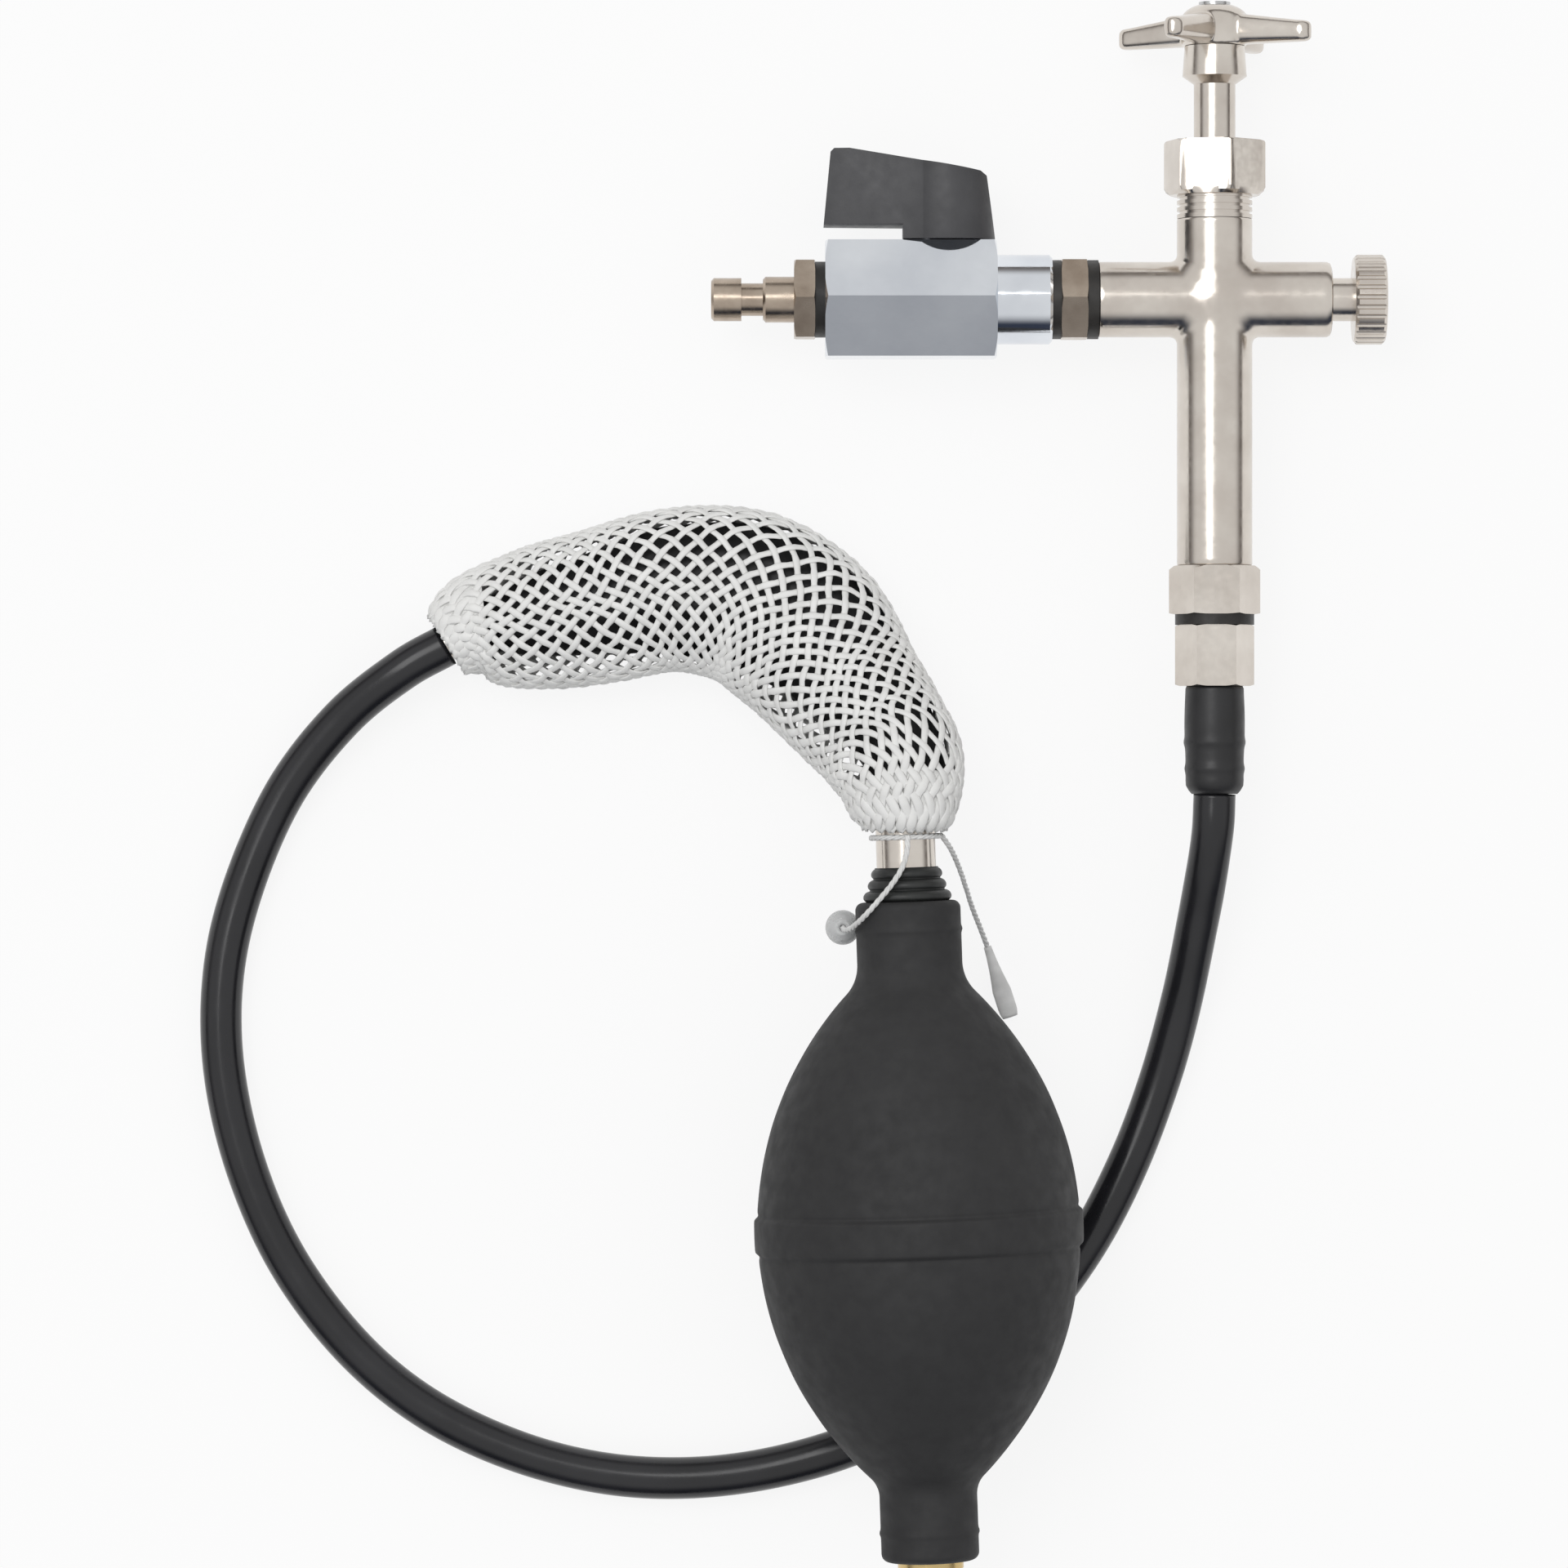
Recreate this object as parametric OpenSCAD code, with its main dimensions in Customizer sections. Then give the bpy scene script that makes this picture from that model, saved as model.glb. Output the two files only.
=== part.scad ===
// Hand vacuum pump: a squeeze bulb with check valves, a bladder in a net bag,
// a hose, and a four-way cross with a shut-off ball valve, a screw valve and a vent plug.
// Millimetres. The pump lies on the plane z = 0, +Z up.
// The pipework's axes run along X and Y; the bulb's axis runs along Y with a slight lean.

/* [Squeeze bulb] */
// Outer radius of the bulb at its equator
bulb_r = 30.4; // [26:0.1:34]
// Radius of the arc that the bulb's side follows
bulb_arc_r = 64.2; // [60:0.1:70]
// Length of the bulb from neck end to neck end
bulb_len = 124; // [116:1:132]
// Rubber wall of the bulb
bulb_wall = 3; // [2:0.1:4]
// How far the moulded band stands out at the equator
band_rise = 0.6; // [0.2:0.1:1.2]
// Width of the moulded band
band_w = 6.8; // [4:0.1:10]
// Outer radius of the outlet neck
outlet_neck_r = 9.9; // [9:0.1:11]
// Outer radius of the inlet neck
inlet_neck_r = 9.2; // [8.5:0.1:10]
// Lean of the bulb's axis away from the Y axis, in degrees
bulb_lean = 2; // [0:0.5:5]
// Place of the bulb's middle on the ground
bulb_at = [4.6, -84.1];

/* [Check valves] */
// Radius of the check balls
ball_r = 3; // [2.6:0.1:3.4]
// Radius of the hole that a check ball closes
ball_hole_r = 2.2; // [1.6:0.1:2.4]
// Radius of the chamber round a check ball
chamber_r = 3.9; // [3.7:0.1:4.2]
// How far a check ball lifts
ball_lift = 1.5; // [0.8:0.1:2]
// Length of each valve that sits inside its neck
valve_depth = 12; // [11:0.5:14]
// Outer radius of the inlet valve
inlet_r = 6.2; // [6:0.1:6.5]
// How far the inlet valve stands out of its neck
inlet_out = 2; // [1:0.1:4]
// Outer radius of the connector between bulb and bladder
connector_r = 5.6; // [5.3:0.1:6]
// Visible length of the ribbed bushing
bushing_out = 6.4; // [4:0.1:9]
// Visible length of the connector
connector_out = 6.4; // [4:0.1:9]

/* [Bladder and net bag] */
// Thickness of the net
net_t = 1.1; // [0.8:0.1:1.4]
// Rubber wall of the bladder
bladder_wall = 1; // [0.7:0.1:1.4]
// Thickness of the drawstring
string_d = 1.1; // [0.8:0.1:1.4]
// Diameter of the bead on the drawstring
bead_d = 6.6; // [5:0.1:8]

/* [Hose] */
// Outer diameter of the hose
hose_d = 8; // [7:0.1:8]
// Bore of the hose
hose_bore = 5; // [4:0.1:5]

/* [Cross] */
// Outer diameter of the cross and its long tube
tube_d = 14.3; // [13.8:0.1:15]
// Bore of the cross
tube_bore = 9; // [8.6:0.1:9.4]
// Reach of the left and right arms
arm_side = 22.1; // [20:0.1:26]
// Reach of the top arm
arm_top = 15.3; // [14:0.1:18]
// Length of the long tube below the centre
arm_down = 50.5; // [40:0.5:70]
// Diameter of the pipe threads
thread_d = 11; // [10.6:0.1:11.4]
// Clearance between a thread and its port
thread_gap = 0.05; // [0.02:0.01:0.1]
// Clearance round every turning shaft
run_gap = 0.05; // [0.02:0.01:0.1]
// Place of the cross's centre on the ground
rig_at = [60.9, 91.8];

/* [Ball valve] */
// Width across flats of the valve body
valve_af = 22; // [20.5:0.1:24]
// Length of the valve body
valve_len = 32.5; // [31:0.5:38]
// Diameter of the chromed end piece
valve_end_d = 17; // [16.8:0.1:18]
// Visible length of the end piece
valve_end_len = 10.5; // [8:0.1:14]
// Distance of the stem from the body's right end
stem_in = 9; // [8.8:0.1:11]
// Radius of the valve ball
valve_ball_r = 6; // [5.8:0.1:6.2]
// Bore of the valve
valve_bore = 6.4; // [5:0.1:6.6]
// Radius of the lever's round hub
hub_r = 8.75; // [8:0.05:9.5]
// Reach of the lever's grip from the stem
lever_reach = 23.8; // [20:0.1:30]
// Height of the grip's top corner over the stem's centre line
lever_top = 28.4; // [26:0.1:32]

/* [Screw valve] */
// Diameter of the spindle's shank
shank_d = 7.9; // [7.5:0.1:8.2]
// Width across flats of the packing nut
packing_af = 17; // [16.4:0.1:18]
// Turn of the packing nut about the spindle, in degrees
packing_turn = 15; // [0:1:30]
// Reach of the handle's arms
handle_r = 19.9; // [17:0.1:24]
// Turn of the handle about the spindle, in degrees
handle_turn = 28; // [0:1:40]

/* [Plug and vent] */
// Radius of the quick plug's tip
plug_tip_r = 4.1; // [3.8:0.05:4.4]
// Length of the quick plug's tip
plug_tip_len = 5.7; // [5:0.1:7]
// Bore of the quick plug
plug_bore = 4.4; // [3:0.1:4.6]
// Diameter of the vent plug's knurled head
vent_head_d = 17; // [14:0.5:20]
// Thickness of the vent plug's head
vent_head_t = 6; // [4:0.5:8]

/* [Hidden] */
$fn = 64;

// Squeeze bulb and its two valves, along the bulb's axis: 0 at the equator, + to the outlet
bulb_z = bulb_r + band_rise;
neck_end = bulb_len / 2;
neck_fillet = [5, 8];
neck_round = 1.5;
bushing_in_r = 7;
bushing_steps = [8.3, 7.4, 6.7];
bushing_end = neck_end + bushing_out;
mouth = bushing_end + connector_out;
connector_end = mouth + 7;
seat_t = 2;
filter_t = 0.8;
filter_deep = 2.5;
stop_t = 0.8;
rest_gap = 0.1;
ball_seated = sqrt(ball_r * ball_r - ball_hole_r * ball_hole_r) + rest_gap;
inlet_seat = seat_t + filter_deep - neck_end - inlet_out;
inlet_ball_at = inlet_seat + ball_seated;
inlet_stop_at = inlet_ball_at + ball_r + ball_lift + rest_gap;
outlet_seat = neck_end - valve_depth + seat_t;
outlet_ball_at = outlet_seat + ball_seated;
outlet_stop_at = outlet_ball_at + ball_r + ball_lift + rest_gap;

// Bag: the middle line, half widths and half heights of the net from mouth to hose
bag_sides = 24;
bag_steps = 3;
function along_bulb(s) = [bulb_at[0] - s * sin(bulb_lean), bulb_at[1] + s * cos(bulb_lean), bulb_z];
bag_end = [-85.3, 26.4, 9.2];
hose_turn = 210;
hose_start_dir = [cos(hose_turn), sin(hose_turn), 0];
bag_route = [
    along_bulb(mouth + 0.6), along_bulb(mouth + 5), [0.6, 3.4, 28.5], [-2.8, 9.4, 23.5],
    [-8.8, 17.4, 17.5], [-16.8, 27.9, 12.8], [-27.8, 35.4, 10.6], [-41.8, 36.9, 10.2],
    [-55.8, 33.9, 10], [-68.8, 31.4, 9.8], bag_end - 7 * hose_start_dir, bag_end
];
bag_half_w = [7.9, 10.6, 12.8, 13.6, 15.2, 17.2, 17, 15.8, 15, 13.8, 10.8, 6.6];
bag_half_h = [7.7, 9.4, 10.6, 11.4, 12.4, 12.2, 10.5, 10.2, 10, 9.7, 8.2, 6.4];
skin_gap = 0.3;
bladder_neck_r = connector_r + 0.05 + bladder_wall;
joiner_r = 3;
joiner_bore_r = 1.5;

// Hose: its route on the ground, from the cuff round under the bulb to the bag
hose_sides = 12;
hose_steps = 2;
hose_route = [
    [60.6, -8.6, -0.3], [59.6, -16.6, -2.5], [58, -26.6, -6.5], [55.2, -41.6, -11.5],
    [51.2, -56.6, -13.6], [45.2, -72.6, 0], [37.2, -88.1, 0], [27.2, -101.6, 0],
    [14.2, -114.1, 0], [-1.8, -124.1, 0], [-18.8, -130.1, 0], [-36.8, -132.9, 0], [-54.8, -132.2, 0],
    [-72.8, -127.6, 0], [-89.8, -119.3, 0], [-103.8, -107.6, 0], [-115.8, -91.6, 0], [-123.8, -73.6, 0],
    [-128.1, -54.6, 0], [-128.2, -36.6, 0], [-124.3, -19.6, 0], [-116.3, -1.6, 0.6], [-105.3, 12.4, 2.6],
    [-93.8, 21.6, 5]
];
drop_points = 5;

// Drawstring: two loose ends that leave the loop round the bag's mouth
string_sides = 8;
string_r = string_d / 2;
loop_at = mouth - 0.7;
loop_r = connector_r + string_r + 0.25;
front_string_route = [
    [2.3, -9.7, 37.9], [2.2, -12.6, 38.4], [1.2, -15.9, 38.9], [-0.6, -18.8, 39.1], [-2.9, -21.6, 39.5],
    [-5.8, -24.9, 38.4], [-8, -27, 34.6], [-9.2, -27.6, 31], [-9.7, -27.2, 27.6]
];
back_string_route = [
    [8.8, -9.7, 30.6], [10.8, -12.6, 26.5], [12.8, -17.1, 20], [15, -23.4, 11.8],
    [16.8, -27.8, 6.6], [18.2, -31.3, 3]
];
tag_route = [[18.2, -31.3, 3], [22.6, -44.8, 1.9]];
tag_r = [0.8, 1.75];

// Pipework, from the cross's centre
tip_r = 2;
rig_z = (handle_r - tip_r) * cos(handle_turn) + tip_r;
tube_r = tube_d / 2;
bore_r = tube_bore / 2;
port_r = thread_d / 2 + thread_gap;
port_deep = 9;
washer_r = 7.5;

// Left line, distances to the left of the cross's centre
ring_a_t = 2.1;
nipple_hex_t = 5;
ring_b_t = 1.7;
nipple_af = 14.8;
nipple_bore_r = 3.5;
nipple_end = 8.5;
nipple_at = arm_side + ring_a_t;
ring_b_at = nipple_at + nipple_hex_t;
valve_end_at = ring_b_at + ring_b_t;
valve_at = valve_end_at + valve_end_len;
valve_far = valve_at + valve_len;
stem_at = valve_at + stem_in;
seat_ring_in = 3.6;
seat_ring_out = 5.6;
cavity_r = valve_ball_r + 0.6;
spigot_r = 7.9;
spigot_len = stem_in - seat_ring_out;
plug_seal_t = 1.9;
plug_seal_r = 7.2;
plug_at = valve_far + plug_seal_t;
plug_hex_t = 4;
plug_hex_af = 14.6;
barrel_r = 4.35;
barrel_len = 5.9;
groove_r = 3.1;
groove_len = 4.1;
plug_far = plug_at + plug_hex_t + barrel_len + groove_len + plug_tip_len;

// Ball valve's stem and lever, heights over the line's axis
flat_y = valve_af / 2;
stem_r = 2.5;
flange_r = 3.4;
slot_w = 1.7;
slot_y = valve_ball_r - 1.4;
blade_w = 4.6;
flange_y = [valve_ball_r + 0.4, valve_ball_r + 2];
gland_y = flange_y[1] + 2;
drive = 3.6;
drive_gap = 0.05;
lever_gap = 0.2;
web_top = flat_y + 8;
screw_r = 1.25;
screw_gap = 0.05;
grip_under = flat_y + 2.95;
grip_half_w = 4.5;
stop_pin_r = 1;
stop_ring_r = 6;
stop_h = 1.8;
stop_gap = 0.2;
lever_swing = 90;
stop_half = lever_swing / 2 + asin((stop_pin_r + stop_gap) / stop_ring_r);

// Screw valve, heights over the cross's centre
thread_r = 3;
seat_y = -12;
web_t = 3;
seat_hole_r = 2.4;
lip_h = 0.5;
disc_gap = 0.4;
rubber_t = 1.5;
jumper_t = 2;
peg_r = 1.5;
peg_len = 4;
jumper_y = seat_y + lip_h + rubber_t;
spindle_y = jumper_y + jumper_t;
bonnet_in_y = 6;
bonnet_neck = 4.4;
nut_y = arm_top + bonnet_neck;
bonnet_top = nut_y + 6.3;
packing_t = 2;
nut_h = 10.4;
shoulder_y = nut_y + 0.3;
shank_r = shank_d / 2;
shank_top = nut_y + 21.1;
collar_y = [shank_top + 1.5, shank_top + 7.2];
collar_r = [6.1, 5.7];
square = 5;
square_top = collar_y[1] + 5.5;
handle_h = 8.4;
hub_top_r = 6.3;
head_r = 3;
head_deep = 1.9;

// Hose end, distances below the cross's centre
nipple_male = 5.5;
end_nut_af = 15;
end_nut_h = 9.2;
hose_seal_t = 2;
barb_af = 13;
barb_hex_h = 11.6;
end_nut_far = arm_down + end_nut_h;
barb_at = end_nut_far + hose_seal_t;
cuff_at = barb_at + barb_hex_h;
barb_stem_r = 3.6;
barb_ridge_r = 4;
barb_ridges = [cuff_at + 10.7, cuff_at + 15.7];
cuff_len = 20.5;
cuff_end = -cuff_at - cuff_len;
cuff_r = 5.65;

// Vent plug, distances to the right of the cross's centre
vent_floor = 12;
vent_r = 4.1;
vent_hole_r = 2.2;
vent_washer_t = 1.5;
vent_gap = 0.05;
vent_neck = 4.2;
vent_slot = 1.2;
knurls = 28;

// ---- Helpers ----

nickel = [0.80, 0.77, 0.72];
chromed = [0.82, 0.84, 0.88];
brass = [0.78, 0.62, 0.32];
rubber = [0.17, 0.17, 0.18];
black = [0.08, 0.08, 0.09];
white_string = [0.92, 0.92, 0.90];
ptfe = [0.95, 0.95, 0.93];
steel = [0.70, 0.71, 0.73];

module on_rig() translate([rig_at[0], rig_at[1], rig_z]) children();

module on_bulb() translate([bulb_at[0], bulb_at[1], bulb_z])
    rotate([0, 0, bulb_lean]) rotate([-90, 0, 0]) children();

// A round bar along X or Y between two places; it tapers when a second radius is given
module bar_x(a, b, r, r2 = undef)
    translate([a, 0, 0]) rotate([0, 90, 0]) cylinder(h = b - a, r1 = r, r2 = is_undef(r2) ? r : r2);

module bar_y(a, b, r, r2 = undef)
    translate([0, a, 0]) rotate([-90, 0, 0]) cylinder(h = b - a, r1 = r, r2 = is_undef(r2) ? r : r2);

module bar_s(a, b, r, r2 = undef)
    translate([0, 0, a]) cylinder(h = b - a, r1 = r, r2 = is_undef(r2) ? r : r2);

// A hexagonal bar standing on z = 0, its corners turned down at the ends asked for
module hex_bar(af, h, low = 0, high = 0) {
    corner = af / sqrt(3);
    keep = af / 2 + 0.25;
    intersection() {
        cylinder(h = h, r = corner, $fn = 6);
        rotate_extrude() polygon([
            [0, 0], [low > 0 ? keep : corner + 1, 0], [corner + 1, low], [corner + 1, h - high],
            [high > 0 ? keep : corner + 1, h], [0, h]
        ]);
    }
}

module hex_y(a, b, af, low = 0, high = 0, turn = 0)
    translate([0, a, 0]) rotate([-90, 0, 0]) rotate([0, 0, turn]) hex_bar(af, b - a, low, high);

module hex_x(a, b, af, low = 0, high = 0)
    translate([a, 0, 0]) rotate([0, 90, 0]) hex_bar(af, b - a, low, high);

function arc(cx, cy, r, from, to, n) =
    [for (i = [0 : n]) let (a = from + (to - from) * i / n) [cx + r * cos(a), cy + r * sin(a)]];

// A smooth curve through points (or through a list of numbers), with n steps between two of them
function spline(p, n) = [
    for (i = [0 : len(p) - 2]) for (k = [0 : n - 1]) spline_at(p, i, k / n),
    p[len(p) - 1]
];
function spline_at(p, i, t) =
    let (a = i > 0 ? p[i - 1] : 2 * p[0] - p[1],
         b = p[i],
         c = p[i + 1],
         d = i < len(p) - 2 ? p[i + 2] : 2 * c - b)
    b + ((c - a) * t + (2 * a - 5 * b + 4 * c - d) * t * t + (3 * b - a - 3 * c + d) * t * t * t) / 2;

function unit(v) = v / norm(v);

// Direction of travel at point i of a path; first and last may be set
function heading(path, i, first, last) =
    i == 0 && !is_undef(first) ? unit(first) :
    i == len(path) - 1 && !is_undef(last) ? unit(last) :
    unit(path[min(i + 1, len(path) - 1)] - path[max(i - 1, 0)]);

// One ring of an oval section: w to the side, h up, square to the path
function ring(at, dir, w, h, sides) =
    let (side = unit(cross(dir, [0, 0, 1])), up = cross(side, dir))
    [for (k = [0 : sides - 1]) at + w * cos(360 * k / sides) * side + h * sin(360 * k / sides) * up];

function rings(path, ws, hs, sides, first, last) =
    [for (i = [0 : len(path) - 1]) ring(path[i], heading(path, i, first, last), ws[i], hs[i], sides)];

function flat(list) = [for (a = list) for (b = a) b];

// Triangles between neighbouring rings; base is the first ring's index, turned = inside faces
function wall_faces(count, sides, base, turned) = [
    for (i = [0 : count - 2]) for (k = [0 : sides - 1])
        let (a = base + i * sides + k, b = base + i * sides + (k + 1) % sides, c = a + sides, d = b + sides)
        for (f = [[a, b, d], [a, d, c]]) turned ? [f[2], f[1], f[0]] : f
];

// Triangles of the flat band between an outer and an inner ring
function band_faces(outer, inner, sides, turned) = [
    for (k = [0 : sides - 1])
        let (a = outer + k, b = outer + (k + 1) % sides, c = inner + k, d = inner + (k + 1) % sides)
        for (f = [[a, d, b], [a, c, d]]) turned ? [f[2], f[1], f[0]] : f
];

// A hollow tube through two matching sets of rings
module tube_solid(outer, inner) {
    count = len(outer);
    sides = len(outer[0]);
    base = count * sides;
    polyhedron(
        points = concat(flat(outer), flat(inner)),
        faces = concat(
            wall_faces(count, sides, 0, false), wall_faces(count, sides, base, true),
            band_faces(0, base, sides, false),
            band_faces((count - 1) * sides, base + (count - 1) * sides, sides, true)
        )
    );
}

// A solid rod through one set of rings
module rod_solid(outer) {
    count = len(outer);
    sides = len(outer[0]);
    polyhedron(
        points = flat(outer),
        faces = concat(
            wall_faces(count, sides, 0, false),
            [for (k = [1 : sides - 2]) [0, k + 1, k]],
            [for (k = [1 : sides - 2]) let (e = (count - 1) * sides) [e, e + k, e + k + 1]]
        )
    );
}

function same(value, count) = [for (i = [0 : count - 1]) value];

// ---- Squeeze bulb and its valves ----

// Half outline of one end, from the equator to the neck's end, inset by the wall
function bulb_side(end, neck_r, fillet) =
    let (low = bulb_r - bulb_arc_r,
         rise = neck_r + fillet - low,
         mid = sqrt(pow(bulb_arc_r + fillet, 2) - rise * rise),
         lean = atan2(mid, rise))
    concat(
        [for (i = [0 : 12]) let (a = lean * i / 12) [low + bulb_arc_r * cos(a), bulb_arc_r * sin(a)]],
        [for (i = [1 : 6]) let (a = lean * (1 - i / 6))
            [neck_r + fillet - fillet * cos(a), mid - fillet * sin(a)]],
        [for (i = [0 : 4]) let (a = 90 * i / 4)
            [neck_r - neck_round + neck_round * cos(a), end - neck_round + neck_round * sin(a)]]
    );

function bulb_inside(end, bore) =
    let (low = bulb_r - bulb_arc_r, r = bulb_arc_r - bulb_wall, last = acos((bore - low) / r))
    concat(
        [for (i = [0 : 12]) let (a = last * i / 12) [low + r * cos(a), r * sin(a)]],
        [[bore, end + 1]]
    );

function mirrored(points) = [for (i = [len(points) - 1 : -1 : 1]) [points[i][0], -points[i][1]]];

module squeeze_bulb() color(rubber) on_bulb() difference() {
    union() {
        rotate_extrude() polygon(concat(
            [[0, -neck_end]],
            mirrored(bulb_side(neck_end, inlet_neck_r, neck_fillet[0])),
            bulb_side(neck_end, outlet_neck_r, neck_fillet[1]),
            [[0, neck_end]]
        ));
        rotate_extrude() polygon([
            [bulb_r - 2, -band_w / 2 - 0.5], [bulb_r - 0.2, -band_w / 2 - 0.5],
            [bulb_r + band_rise, -band_w / 2], [bulb_r + band_rise, band_w / 2],
            [bulb_r - 0.2, band_w / 2 + 0.5], [bulb_r - 2, band_w / 2 + 0.5]
        ]);
    }
    rotate_extrude() polygon(concat(
        [[0, -neck_end - 1]],
        mirrored(bulb_inside(neck_end, inlet_r + thread_gap)),
        bulb_inside(neck_end, bushing_in_r + thread_gap),
        [[0, neck_end + 1]]
    ));
}

module inlet_valve_body() color(brass) on_bulb() difference() {
    union() {
        bar_s(-neck_end - inlet_out, -neck_end - inlet_out + 0.6, inlet_r - 0.6, inlet_r);
        bar_s(-neck_end - inlet_out + 0.6, inlet_stop_at + stop_t + 2, inlet_r);
    }
    bar_s(-neck_end - inlet_out - 1, inlet_seat + 0.1, ball_hole_r);
    bar_s(-neck_end - inlet_out - 1, -neck_end - inlet_out + filter_deep, chamber_r + 0.6);
    bar_s(inlet_seat, inlet_stop_at + stop_t + 3, chamber_r);
}

module check_ball(at) on_bulb() translate([0, 0, at]) sphere(r = ball_r);

module inlet_ball() color(steel) check_ball(inlet_ball_at);

module outlet_ball() color(steel) check_ball(outlet_ball_at);

// A small disc with four holes that keeps a check ball in its chamber
module ball_stop(at) on_bulb() difference() {
    bar_s(at, at + stop_t, chamber_r - thread_gap);
    for (a = [0 : 90 : 270]) rotate([0, 0, a]) translate([chamber_r * 0.58, 0, at - 1])
        cylinder(h = stop_t + 2, r = chamber_r * 0.22, $fn = 24);
}

module inlet_ball_stop() color(brass) ball_stop(inlet_stop_at);

module outlet_ball_stop() color(nickel) ball_stop(outlet_stop_at);

module inlet_filter() color(steel) on_bulb() {
    at = -neck_end - inlet_out + filter_deep - filter_t - 0.05;
    difference() {
        bar_s(at, at + filter_t, chamber_r + 0.55);
        for (a = [0 : 60 : 300]) rotate([0, 0, a]) translate([chamber_r * 0.55, 0, at - 1])
            cylinder(h = filter_t + 2, r = 0.7, $fn = 16);
        translate([0, 0, at - 1]) cylinder(h = filter_t + 2, r = 0.7, $fn = 16);
    }
}

module outlet_bushing() color(black) on_bulb() {
    step = bushing_out / len(bushing_steps);
    hole = connector_r + thread_gap;
    low = neck_end - valve_depth;
    rotate_extrude() polygon(concat(
        [[hole, low], [bushing_in_r, low], [bushing_in_r, neck_end]],
        [for (i = [0 : len(bushing_steps) - 1]) let (at = neck_end + i * step, r = bushing_steps[i])
            for (p = [[r, at], [r, at + step * 0.7], [r - 0.4, at + step]]) p],
        [[hole, bushing_end]]
    ));
}

module connector_tube() color(nickel) on_bulb() difference() {
    bar_s(neck_end - valve_depth, connector_end, connector_r);
    bar_s(neck_end - valve_depth - 1, outlet_seat + 0.1, ball_hole_r);
    bar_s(outlet_seat, connector_end + 1, chamber_r);
}

// ---- Bladder, net bag and drawstring ----

bag_path = spline(bag_route, bag_steps);
bag_w = spline(bag_half_w, bag_steps);
bag_h = spline(bag_half_h, bag_steps);
bag_first = along_bulb(1) - along_bulb(0);

// Half widths of the bag, made smaller all round
function inset(list, by) = [for (v = list) v - by];

module net_bag() color(white_string) tube_solid(
    rings(bag_path, bag_w, bag_h, bag_sides, bag_first, hose_start_dir),
    rings(bag_path, inset(bag_w, net_t), inset(bag_h, net_t), bag_sides, bag_first, hose_start_dir)
);

// The bladder fills the net but for its two necks
module bladder() color(black) {
    sides = 16;
    first = 1;
    last = len(bag_path) - 2;
    path = [for (i = [first : last]) bag_path[i]];
    neck_in = connector_r + 0.3;
    neck_out = joiner_r + 0.3;
    w = inset([for (i = [first : last]) bag_w[i]], net_t + skin_gap);
    h = inset([for (i = [first : last]) bag_h[i]], net_t + skin_gap);
    n = len(path);
    inner_w = [for (i = [0 : n - 1]) i < 3 ? neck_in : i > n - 3 ? neck_out : w[i] - bladder_wall];
    inner_h = [for (i = [0 : n - 1]) i < 3 ? neck_in : i > n - 3 ? neck_out : h[i] - bladder_wall];
    outer_w = [for (i = [0 : n - 1]) i < 3 ? bladder_neck_r : i > n - 3 ? min(w[i], neck_out + 1) : w[i]];
    outer_h = [for (i = [0 : n - 1]) i < 3 ? bladder_neck_r : i > n - 3 ? min(h[i], neck_out + 1) : h[i]];
    tube_solid(
        rings(path, outer_w, outer_h, sides, bag_first, hose_start_dir),
        rings(path, inner_w, inner_h, sides, bag_first, hose_start_dir)
    );
}

// A short tube that joins the bladder's tail to the hose
module bladder_joiner() color(nickel) translate(bag_end) rotate([0, 0, hose_turn]) difference() {
    union() {
        bar_x(-9, 0, joiner_r);
        bar_x(-0.1, 6, hose_bore / 2 - 0.4);
    }
    bar_x(-10, 7, joiner_bore_r);
}

module drawstring_loop() color(white_string) on_bulb() translate([0, 0, loop_at])
    rotate_extrude() translate([loop_r, 0]) circle(r = string_r, $fn = 24);

module string_piece(route) {
    path = spline(route, 2);
    radii = same(string_r, len(path));
    rod_solid(rings(path, radii, radii, string_sides, undef, undef));
}

module drawstring_front() color(white_string) string_piece(front_string_route);

module drawstring_back() color(white_string) string_piece(back_string_route);

module drawstring_bead() color([0.85, 0.86, 0.85]) {
    end = front_string_route[len(front_string_route) - 1];
    translate([end[0], end[1], end[2] - bead_d / 2]) sphere(d = bead_d);
}

// The sealed, thicker tip of the drawstring
module drawstring_tag() color(white_string) {
    rod_solid(rings(tag_route, tag_r, tag_r, string_sides, undef, undef));
}

// ---- Hose and its end ----

hose_r = hose_d / 2;
hose_lift = [for (i = [0 : len(hose_route) - 1]) i < drop_points ? rig_z : hose_r];
hose_points = concat(
    [[rig_at[0], rig_at[1] + cuff_end, rig_z]],
    [for (i = [0 : len(hose_route) - 1]) hose_route[i] + [0, 0, hose_lift[i]]],
    [bag_end]
);
hose_path = spline(hose_points, hose_steps);

module hose() color(black) {
    count = len(hose_path);
    outer = same(hose_r, count);
    inner = same(hose_bore / 2, count);
    back = -hose_start_dir;
    tube_solid(
        rings(hose_path, outer, outer, hose_sides, [0, -1, 0], back),
        rings(hose_path, inner, inner, hose_sides, [0, -1, 0], back)
    );
}

module hose_cuff() color(black) on_rig() difference() {
    union() {
        bar_y(cuff_end + 1.6, -cuff_at, cuff_r);
        bar_y(cuff_end, cuff_end + 1.6, hose_r + 0.2, cuff_r);
        for (y = barb_ridges) {
            bar_y(-y - 1, -y, cuff_r, cuff_r + 0.2);
            bar_y(-y, -y + 1, cuff_r + 0.2, cuff_r);
        }
    }
    bar_y(cuff_end + 2.4, -cuff_at + 1, barb_ridge_r + thread_gap);
    bar_y(cuff_end - 1, cuff_end + 2.5, hose_bore / 2);
}

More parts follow.
